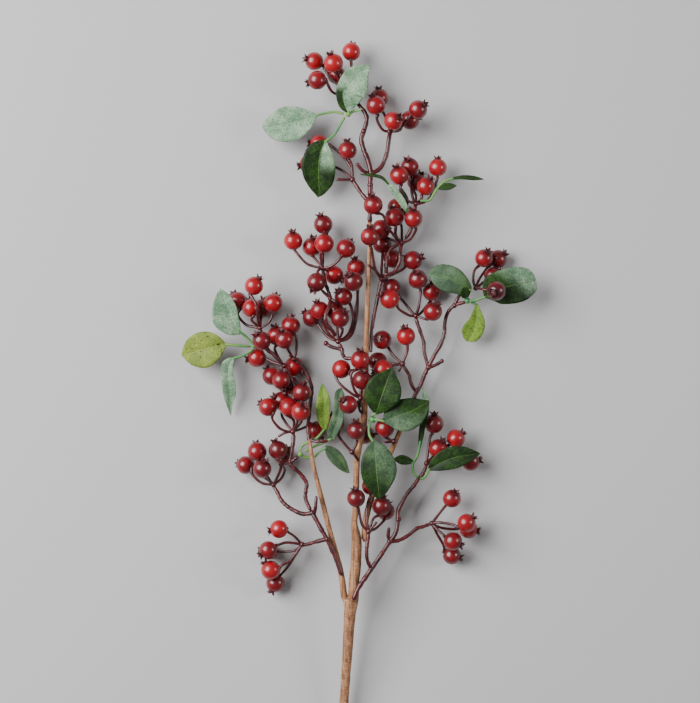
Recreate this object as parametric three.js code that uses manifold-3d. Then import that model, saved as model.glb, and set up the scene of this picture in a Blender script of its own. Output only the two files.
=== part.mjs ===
// Cranberry sprig: a made-up orchard spray lying on its back. Its paper-taped stem forks into three
// shoots that carry dark wiry twigs, bunches of berries with starry crowns, and loose leaves.
// Millimetres, +Z up, the sprig lying in XY with the cut end of the stem towards -Y.
import * as THREE from 'three';
import { mergeVertices } from 'three/addons/utils/BufferGeometryUtils.js';
import Module from 'manifold-3d';

const wasm = await Module();
wasm.setup();

// ---- driving dimensions ----
const berryRadius = 5;
const crownTip = [3, 6.6];        // radius and height of the crown's five points
const crownValley = [1.5, 5.1];   // radius and height between the points
const crownFloor = 4.8;           // bottom of the cup inside the crown
const berryProfile = [[0, -5], [4.2, -2.8], [4.65, 1.9], [1.7, 4.65]];
const pedicelRadius = 0.85;
const pedicelSink = 4.4;          // how far behind the centre of a berry its pedicel ends
const petioleRadius = 0.75;
const leafThickness = 0.7;
const stemStep = 14;              // length of one straight facet along a stem, twig or pedicel
const twigStep = 10;
const pedicelStep = 12;
const stemSides = 10;
const twigSides = 5;
const pedicelSides = 3;

const finishes = {
  paper_tape: { color: '#b08a5e', roughness: 0.85, metalness: 0 },
  dark_twig: { color: '#3a1216', roughness: 0.4, metalness: 0 },
  berry_skin: { color: '#a8101c', roughness: 0.3, metalness: 0 },
  leaf_green: { color: '#2f4a24', roughness: 0.6, metalness: 0 },
  leaf_pale: { color: '#9aa886', roughness: 0.7, metalness: 0 },
  leaf_yellow: { color: '#9c9a3e', roughness: 0.65, metalness: 0 },
};

// ---- stems: [name, [x, y, z, radius] from the cut end outwards] ----
const stems = [
  ['stem_main', [[-8.5, -127, 2.6, 2.45], [-7, -104, 3.5, 2.45], [-4.3, -56.7, 8, 2.45],
    [-2.5, -30, 12, 2.75], [-1.2, -9, 15.3, 3.2], [-0.6, -1.2, 16.4, 3.4]]],
  ['shoot_centre', [[0.7, -0.7, 16.8, 2.9], [1, 8, 17, 2.9], [2, 18, 17, 2.9], [2.4, 31, 17, 2.8],
    [1.2, 40, 17, 1.8], [1.9, 48, 17, 1.75], [2.2, 60, 17, 1.7], [2.6, 74, 17, 1.65],
    [4.2, 84, 17, 1.75], [6, 94, 17, 1.9], [6.8, 104, 17, 1.7], [7.2, 116, 17.2, 1.6],
    [7.6, 130, 17.4, 1.5], [7.8, 145, 17.5, 1.4], [8.4, 160, 17.5, 1.3], [9, 175, 17.5, 1.2],
    [9.5, 190, 17.5, 1], [9.6, 202.6, 17.5, 1]]],
  ['shoot_left', [[-4.2, 1, 15.8, 1.8], [-5.1, 8, 16, 1.7], [-6.5, 16, 16, 1.6], [-9.5, 27, 16, 1.5],
    [-12, 36, 16.2, 1.4], [-15, 48, 16.8, 1.4], [-17, 56, 17, 1.3], [-19, 64, 17.2, 1.2],
    [-21, 73, 17.6, 1.05], [-22.7, 83.6, 18, 1]]],
  ['shoot_right', [[6.8, 33.6, 14.8, 1.7], [7, 38, 14.6, 1.7], [8, 45, 14, 1.7], [10.3, 53, 13, 1.6],
    [14, 62, 12, 1.6], [19, 74, 12, 1.5], [22.5, 82, 12, 1.4], [25.5, 89, 12.6, 1.3],
    [29, 97, 13.4, 1.2], [32.6, 105.6, 14, 1.2]]],
];

// ---- twigs: [name, branches [start radius, end radius, points], knobs [x, y, z, radius]] ----
// A point without its own height takes one between its neighbours.
const twigs = [
  ['twig_low_left', [
    [1.2, 1.1, [[-5.7, 13.5, 19.6], [-8.5, 21], [-11, 27], [-13.5, 32, 19.8], [-17, 38], [-20, 43.5],
      [-21.5, 46, 17]]],
    [1.1, 0.9, [[-13.5, 32, 19.8], [-19, 30.5], [-24, 28.8, 13.5], [-25.1, 28.6, 12.6]]],
    [0.9, 0.8, [[-20.7, 45, 17.6], [-19.7, 49, 20.2], [-19.3, 54, 20.4]]],
    [1.1, 0.9, [[-21.5, 46, 17], [-26, 45.3], [-31, 47], [-35.5, 49.8], [-38.5, 53], [-40.5, 57],
      [-41.8, 59, 11.4]]],
  ], [[-13.5, 32, 19.8, 1.5], [-21.5, 46, 17, 1.6]]],
  ['twig_mid_left', [
    [1, 1, [[-22.9, 48.6, 16], [-25, 53, 15], [-25, 58], [-24.6, 62], [-28, 67], [-32, 70.5],
      [-33.5, 73.5, 15], [-32.8, 78], [-31.7, 85], [-31.8, 87.4, 14]]],
    [0.9, 0.8, [[-33, 73.3, 15], [-30, 75.8, 15.6]]],
  ], [[-33.4, 73.4, 15, 1.4]]],
  ['twig_left_upper', [
    [1, 0.9, [[-22.8, 84.7, 18], [-23.3, 87], [-23.8, 92, 17], [-23.2, 100, 13], [-22.3, 107, 11],
      [-21.8, 113, 11], [-22.8, 117], [-25, 122], [-28.5, 126.5], [-29.8, 127.6, 11.8]]],
    [0.9, 0.9, [[-23.4, 99, 13.4], [-27, 105, 11.5], [-31, 113, 11.5], [-33, 118, 12.5],
      [-35.4, 123, 12.8]]],
    [0.7, 0.7, [[-22.9, 85.6, 18], [-18.5, 84.4, 20.5], [-14.2, 84.9, 20.5]]],
  ], [[-23.4, 99, 13.4, 1.4]]],
  ['twig_far_left', [
    [1, 0.9, [[-40.4, 129.8, 13.5], [-43, 132, 14], [-46, 134.5], [-48.5, 142], [-49.4, 143.9, 13.8]]],
  ], [[-46, 134.5, 14, 1.3]]],
  ['twig_upper_left', [
    [1, 0.9, [[5.2, 127, 18.2], [3, 128.6], [-1, 129.3], [-3.5, 129.5, 14.5], [-5, 131.5],
      [-5.5, 134.5], [-6.6, 136.4, 14]]],
    [0.9, 0.8, [[-5.4, 134.2, 14], [-11, 135.6, 13], [-13.8, 137.3, 12.6]]],
  ], [[-14, 137.5, 12.6, 1.4], [-5.4, 134, 14, 1.2]]],
  ['twig_upper_left_tip', [
    [1, 0.9, [[-9.6, 142.4, 18.2], [-10.2, 143.6, 19.6], [-13.5, 147.5, 22.6], [-14.3, 152, 23.4],
      [-12.5, 157, 22], [-11.7, 162, 18], [-13, 166], [-15, 172, 15.4], [-15.6, 176.2, 14.2]]],
    [0.8, 0.7, [[-11.9, 161.6, 18.4], [-9.6, 160.3, 19.5]]],
    [0.8, 0.7, [[-12, 162, 18], [-15.5, 165.3, 18]]],
  ], [[-11.8, 161.8, 18.2, 1.3]]],
  ['twig_top', [
    [1.1, 1.3, [[9.6, 203.6, 17.5], [9.7, 212, 18], [9.8, 220], [9.9, 226], [10.3, 229.5, 18]]],
    [0.9, 0.8, [[10.3, 229.5, 18], [6.5, 230], [3.3, 233.6, 19]]],
    [1.25, 1, [[10.3, 229.5, 18], [8.7, 236], [6.5, 241.5], [5, 247.5], [6.3, 252], [8, 258], [7, 262],
      [4.5, 265.5, 14.4], [1.6, 269.2, 13.2]]],
    [1.15, 1, [[10.3, 229.5, 18], [14, 231], [17, 235], [19, 241], [19.8, 247, 15.2],
      [20.3, 250, 14.4]]],
    [0.9, 0.9, [[9.7, 213, 18], [5, 218.5], [1.3, 224.3, 15.3]]],
  ], [[9.8, 223, 18, 1.6], [10.3, 229.5, 18, 1.6], [6.3, 252, 16.6, 1.5]]],
  ['twig_upper_right', [
    [0.9, 0.9, [[10.1, 134, 16.6], [10.4, 142, 15], [11.4, 150], [13.2, 159], [14.9, 168, 14.4],
      [15.6, 170.2, 14.2]]],
  ], []],
  ['twig_upper_right_mid', [
    [0.9, 0.8, [[18.4, 174.8, 16.2], [18.6, 177.5, 15], [19, 184, 13], [21, 188.5], [24.6, 190.9, 12.6]]],
    [0.9, 0.8, [[18.4, 174.8, 16.2], [20.5, 175, 16.2], [23, 176.5], [25.5, 181, 15.6], [26, 186, 15],
      [26.6, 189.9, 13.4]]],
  ], []],
  ['twig_upper_right_tip', [
    [0.9, 0.9, [[29.2, 194.9, 11.4], [30.8, 197], [32, 200, 12.4], [33, 206, 14], [34.1, 210.8, 14.8]]],
  ], []],
  ['twig_centre_right', [
    [1.1, 1, [[33.2, 106.8, 14], [34.7, 111], [37, 114.5, 13], [38.5, 118.5], [40, 122],
      [41.3, 124.5, 14]]],
    [0.9, 0.8, [[34.9, 111.3, 13.8], [32.5, 114.5], [31, 120], [29.5, 122.6], [28.5, 124.2, 13]]],
    [0.9, 0.8, [[41.3, 124.5, 14], [44.5, 125.5], [48.5, 127.8, 14]]],
    [0.9, 0.9, [[41.3, 124.5, 14], [39.3, 132], [38.8, 138], [37.3, 143], [35.4, 148.5],
      [34.9, 150.1, 13]]],
    [1, 0.9, [[41.3, 124.5, 14], [44.5, 131], [48, 137], [50, 143, 12.6], [50.3, 149], [52, 154.5],
      [55.5, 158, 14.6], [60.1, 159.4, 15.6]]],
    [0.8, 0.8, [[55.5, 158, 14.6], [57, 161.6], [58.6, 164, 14.6]]],
  ], [[41.3, 124.5, 14, 1.6], [48.6, 127.9, 14, 1.2], [55.5, 158, 14.6, 1.4]]],
  ['twig_low_right', [
    [1.2, 1.1, [[1.2, 0.4, 21.4], [3.5, 6, 21.6], [8, 12.5, 20.4], [11.5, 17.5], [15, 22.5], [18, 27],
      [20.3, 30.5, 17]]],
    [0.8, 0.8, [[20.1, 30.3, 17], [19.5, 34], [19.8, 36.8, 18]]],
    [1, 0.9, [[20.3, 30.5, 17], [25, 31], [30, 33.5], [35, 37.3], [38.5, 38.3], [41, 39.2, 12.6]]],
    [1.1, 0.9, [[20.3, 30.5, 17], [23, 34], [24.3, 38], [24.9, 43], [25, 47], [27, 51.5], [30, 56.5],
      [33, 60], [36, 64.3], [38, 66.5], [39.3, 69.2], [39.8, 70.5, 14.2]]],
    [0.9, 0.9, [[10.4, 16.2, 20], [8.5, 20, 21.4], [7.8, 25, 22], [8.3, 30], [8.8, 34.2, 22]]],
  ], [[20.3, 30.5, 17, 1.6], [25, 42.4, 16.4, 1.6], [10.3, 16, 20, 1.4]]],
];

// ---- bunches: [name, hub, berries, extra pedicels] ----
// A berry is [x, y, z, crown direction in plan, crown tilt up, points of its pedicel back to the hub];
// with no direction given the crown points straight away from the pedicel.
const bunches = [
  ['bunch_low_left', [-27, 28.5, 12], [
    [-39.5, 37, 13, 190, 0, [[-35, 35.8], [-31, 32.8]]],
    [-45.3, 25.8, 15.6, 215, 10, [[-40, 28.5], [-36, 29.7], [-31, 29.3]]],
    [-45, 24.5, 4.9, null, 0, [[-39.5, 24.3], [-31.5, 25]]],
    [-44, 14.7, 13, 130, -10, [[-38.5, 17], [-34, 19.5], [-31, 23]]],
    [-41.7, 7, 5.5, 245, 0, [[-38.5, 12], [-35, 16], [-31.5, 21.5]]]], []],
  ['bunch_left_outer', [-42.5, 60.9, 11], [
    [-57.9, 71.3, 6, 170, -40, [[-54.5, 67.3], [-51.5, 63.5], [-47.5, 61.3]]],
    [-51.4, 78.9, 12.6, 100, -40, [[-49.5, 72, 8], [-45.5, 64.5]]],
    [-48.5, 69.8, 17.4, 70, 25, [[-47.5, 65]]],
    [-40, 79.9, 17, 110, 5, [[-38.5, 70, 14], [-40, 66]]],
    [-37.3, 76.2, 6.6, 60, 0, [[-36.6, 69, 9], [-38.6, 64]]]], []],
  ['bunch_mid_left', [-32, 89.7, 14], [
    [-45.4, 103, 15.5, 150, -30, [[-43.2, 97], [-39.5, 92], [-35.5, 90]]],
    [-38.4, 106.2, 6.4, 150, 30, [[-38.3, 99.5], [-36, 94.5]]],
    [-34, 103, 17.5, 60, -30, [[-31.5, 96]]],
    [-27.6, 101, 26, 60, 50, [[-29.5, 95, 19]]],
    [-27, 111, 20, 80, 10, [[-25.4, 103, 17.6], [-27.6, 95, 15.4]]],
    [-19.4, 90.2, 8, 300, 0, [[-24.5, 92.5], [-28, 91]]]],
    [[[-32, 89.7, 14], [-36, 89.2], [-40, 87, 13]]]],
  ['bunch_mid_left_high', [-36.2, 110.5, 16.6], [
    [-34, 114.8, 5.4, 350, 20, [[-35.4, 112.4, 11.4]]],
    [-38.3, 117.6, 17, 100, -20, []],
    [-43.8, 119.7, 7.4, 120, 0, [[-39, 113, 13]]]], []],
  ['bunch_far_left', [-49.8, 146, 13.6], [
    [-52.9, 168.5, 19, 55, 10, [[-51.5, 158, 20.4], [-50.8, 150, 17.4]]],
    [-62.1, 160.4, 8, 120, -30, [[-62, 153, 10], [-58, 148], [-54, 146.5]]],
    [-54.6, 156.6, 14, 120, -30, [[-54.3, 150]]],
    [-48.9, 156.6, 5.2, 80, -10, [[-49.6, 150]]],
    [-42.7, 159.3, 13, 70, -40, [[-43, 153], [-45, 149], [-48, 146.8]]]], []],
  ['bunch_left_upper', [-31.5, 129, 12], [
    [-33.2, 147, 13, 90, -20, [[-30.4, 141.5], [-30, 137], [-30.4, 132]]],
    [-36.4, 139.6, 21, 110, 20, [[-34.5, 134]]],
    [-31.6, 125, 4.9, 330, 10, [[-31.4, 127.6, 8.8]]]],
    [[[-31.5, 129, 12], [-34.2, 131.4, 12.2]]]],
  ['bunch_far_left_low', [-36.8, 125.4, 13], [
    [-48.6, 138.8, 22.6, 130, 30, [[-44.5, 133.5, 18.6], [-40, 128.6, 16]]],
    [-51.7, 129.8, 8.4, 190, 0, [[-47.3, 129.8, 9.4], [-43, 127.4, 11]]],
    [-41, 141.6, 8.6, 100, 20, [[-42, 134.6, 9.4], [-39.4, 129, 11]]]], []],
  ['bunch_upper_left', [-7.5, 138.5, 14], [
    [-22, 151.4, 8, 140, -10, [[-18, 147], [-13, 141]]],
    [-17.4, 155.4, 16.6, 110, 15, [[-16, 149], [-12.5, 142.6]]],
    [-6.5, 151, 21, 55, 30, [[-5, 145, 18]]],
    [-9, 155, 9.6, 100, 0, [[-8, 146, 11]]],
    [-4.7, 162.8, 15, 135, 40, [[-0.4, 157, 10.6], [0.6, 149, 11], [-2, 141.5, 13]]],
    [0.7, 170.8, 21.4, 125, 40, [[3, 163.5, 13.4], [2.4, 151, 11], [-1, 141, 13]]],
    [2.2, 178.5, 11, 100, 10, [[3.4, 168, 9.6], [2, 156, 9], [-1.8, 143, 12]]]], []],
  ['bunch_upper_left_tip', [-16, 178.3, 14], [
    [-9.8, 174.6, 9, 330, 10, [[-13.6, 177, 11]]],
    [-19.2, 170.3, 22, 250, 30, [[-18.6, 176.4, 18]]],
    [-31.8, 193, 13, 95, 20, [[-30.5, 187.2], [-25, 181], [-20, 179]]],
    [-21.8, 189.9, 8.6, 80, 25, [[-20.6, 184]]],
    [-15, 191.4, 18, 85, 0, [[-17, 185]]],
    [-15.6, 202, 11.6, 110, 20, [[-15.6, 192, 9], [-15.8, 184, 12]]],
    [-3.3, 188.8, 16, 60, -40, [[-6.2, 183.5], [-11, 179.3]]]], []],
  ['bunch_top_inner', [0.2, 226, 15], [
    [-2.3, 241.9, 15, 95, 0, [[0, 233]]],
    [-18, 245.9, 9, 175, 0, [[-11, 244.5], [-5, 239], [-0.8, 232.4]]],
    [-23.5, 235, 5.4, 190, 0, [[-14, 235.4, 7], [-5, 231]]]],
    [[[-8.8, 226, 15.4], [0.2, 226, 15]]]],
  ['bunch_top', [0, 271, 13], [
    [-0.4, 295.5, 12, 85, -40, [[-0.3, 287], [0, 278]]],
    [-10, 288.6, 18.6, 110, 20, [[-6, 278.5, 14]]],
    [-8.6, 283.5, 7.4, 120, 0, [[-3.4, 276.4, 10]]],
    [-20.4, 290.6, 10, 165, 20, [[-13.5, 284], [-7, 277]]],
    [-18.8, 279.6, 16.5, 195, -20, [[-11, 273.5], [-5, 271.6]]]], []],
  ['bunch_top_right', [20.5, 252, 14], [
    [12.8, 266, 17, 110, 10, [[13.4, 258.5], [16.5, 253]]],
    [14.8, 271, 7.2, 95, 0, [[17.4, 262], [19.2, 257]]],
    [22.3, 257.2, 21.6, 25, 50, [[20.6, 253, 16.8]]],
    [31.4, 258.6, 10.6, 20, 10, [[26, 253]]],
    [35.5, 263.4, 20.6, 35, 30, [[29.4, 257.6, 17.6], [24.4, 252.8]]]], []],
  ['bunch_upper_right_tip', [34.5, 213, 15], [
    [25.4, 228, 19.3, 110, 20, [[26, 220, 18.6], [29.5, 214.8, 18.4]]],
    [31.3, 233.2, 12, 110, 40, [[32, 222], [33, 216]]],
    [35, 225.6, 4.9, 60, 0, [[34.6, 218]]],
    [39.9, 222.4, 14.6, 60, 10, [[37.5, 215.6]]],
    [46.4, 232.8, 12, 90, 0, [[46, 226], [43, 217.4], [38.5, 213.6]]]], []],
  ['bunch_upper_right', [27, 192, 12], [
    [33, 204.7, 21.6, 95, 20, [[34.6, 199, 18], [31.5, 193.8]]],
    [22.9, 205.6, 17, 100, 0, [[23.6, 196]]],
    [24.4, 211.4, 6.4, 330, 30, [[26.4, 203, 8], [27, 196, 10]]],
    [15.8, 199.3, 13.6, 20, 50, [[20.6, 194]]],
    [11.3, 211.8, 25, 100, 20, [[16.5, 206.4, 24], [19.6, 199.6, 21.6], [24.4, 193.8, 15]]]], []],
  ['bunch_upper_right_low', [16, 172.5, 14], [
    [9.6, 194.8, 24.6, 90, 10, [[10.6, 188, 22.6], [12.6, 177, 19]]],
    [16.4, 191.6, 5.4, 95, 0, [[16.4, 184, 7.4], [16, 177, 11]]],
    [22, 183.6, 5.4, 30, 0, [[18.6, 176, 9]]],
    [33, 182.6, 10.4, 20, 20, [[28.6, 178.6, 10.4], [22.4, 175, 11]]]],
    [[[16, 172.5, 14], [12.6, 176.8, 20], [8.2, 179.8, 21]]]],
  ['bunch_centre_right', [34.6, 152.4, 13], [
    [21.4, 167.8, 7.4, 130, 0, [[27, 161.5], [32, 155]]],
    [20.3, 161.3, 17.5, 150, 20, [[25.4, 156, 15.4], [31, 152.6]]],
    [35.7, 172.2, 12, 105, 45, [[37.2, 165], [36.2, 157.5]]],
    [43.6, 165.6, 6, 85, 15, [[40.6, 158], [37.4, 154]]],
    [43.6, 154.6, 19, 60, 20, [[39.6, 150.6]]]], []],
  ['bunch_centre', [27.4, 126.4, 13], [
    [16.4, 139.4, 9.8, 150, 60, [[21.6, 132]]],
    [29.2, 141.4, 16, 100, 25, [[29.8, 133]]],
    [14, 127.6, 8.2, 180, 10, [[20.4, 126.4]]],
    [16.8, 123.4, 18.8, 200, 20, [[22.4, 125.6]]]],
    [[[27.4, 126.4, 13], [25.2, 122.2, 13.6]]]],
  ['bunch_centre_high', [4.6, 108, 22.2], [
    [4.4, 128.6, 24.6, 90, 20, [[-0.4, 121.4, 24.4], [1, 113, 23.4]]],
    [5.4, 117.8, 25, 85, 30, []],
    [-5.8, 123.6, 19, 340, 20, [[-7.6, 117, 21.6], [-0.4, 110.6, 22.6]]],
    [-2, 104.6, 25.4, 140, 40, []]],
    [[[4.6, 108, 22.2], [3.8, 102.4, 21.4], [5.8, 99.4, 21]]]],
  ['bunch_centre_back', [4, 104, 10.6], [
    [11, 115.6, 10, 60, 10, [[7, 108.6, 10.6]]]], []],
  ['bunch_centre_left', [0, 79, 22], [
    [2.2, 90.6, 24.5, 92, 10, [[2.6, 84]]],
    [-9.5, 94, 7, 120, 0, [[-7, 87, 11], [-3, 82, 17]]]],
    [[[0, 79, 22], [2.4, 76, 21.6], [3.4, 74, 20.6]]]],
  ['bunch_centre_low', [22.6, 84.6, 17], [
    [17.6, 92, 19.4, 40, 0, []],
    [7, 88, 9, 160, 0, [[13, 88.6, 12], [17.6, 87, 14.6]]]],
    [[[22.6, 84.6, 17], [17.2, 84, 17.6]]]],
  ['bunch_right', [40.3, 72.6, 14], [
    [44.4, 94, 14, 90, 15, [[42.4, 87], [41, 78.4]]],
    [46.6, 80.6, 14, 60, 20, [[42.6, 75]]],
    [56.2, 86, 12, 40, 0, [[51, 79, 7.4], [45, 73.6, 10]]],
    [64.5, 73.4, 8, 10, 0, [[56, 72.6, 9], [47, 71.8, 12]]]], []],
  ['bunch_low_right', [43.2, 40, 12], [
    [54.1, 53.4, 12, 60, 40, [[50.4, 49], [46.4, 44]]],
    [61.8, 40.6, 17.4, 40, 5, [[54, 39.6], [47, 40.6]]],
    [63.4, 36.4, 6.6, 350, 0, [[55, 36.6, 8.4], [48, 37.6]]],
    [54.4, 30.6, 16.5, 335, 0, [[49.6, 33.8], [46, 37]]],
    [54.3, 22.1, 6, 345, 0, [[50, 27], [46, 34.4]]]], []],
  ['bunch_low_centre', [9, 36.4, 22], [
    [2.2, 54.4, 25.2, 100, 20, [[3.6, 48, 22.6], [5.4, 40, 22]]],
    [15.8, 49.8, 19, 80, 0, [[11.4, 43, 20.6]]],
    [18.2, 46.4, 8.4, 75, 20, [[17.2, 41.4, 12], [12.6, 37.6, 19]]],
    [10.2, 60.6, 20.8, 90, 0, [[8.2, 50, 21.4], [8, 42, 22]]]],
    [[[9, 36.4, 22], [13.4, 41.6, 23]]]],
  ['bunch_far_right', [67, 167.4, 14.4], [
    [71.5, 183.6, 12.4, 60, 35, [[66.4, 177], [65.6, 171.4]]],
    [79.4, 183.4, 5.4, 40, 20, [[73, 178], [68.6, 171.6]]],
    [76.6, 174, 9.4, 30, 0, [[71, 170.4]]],
    [77.3, 165.6, 28.2, 200, 62, [[75, 165.8, 23.8], [70.6, 166.6, 22.4], [67.8, 167.2, 18.4]]]], []],
];

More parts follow.
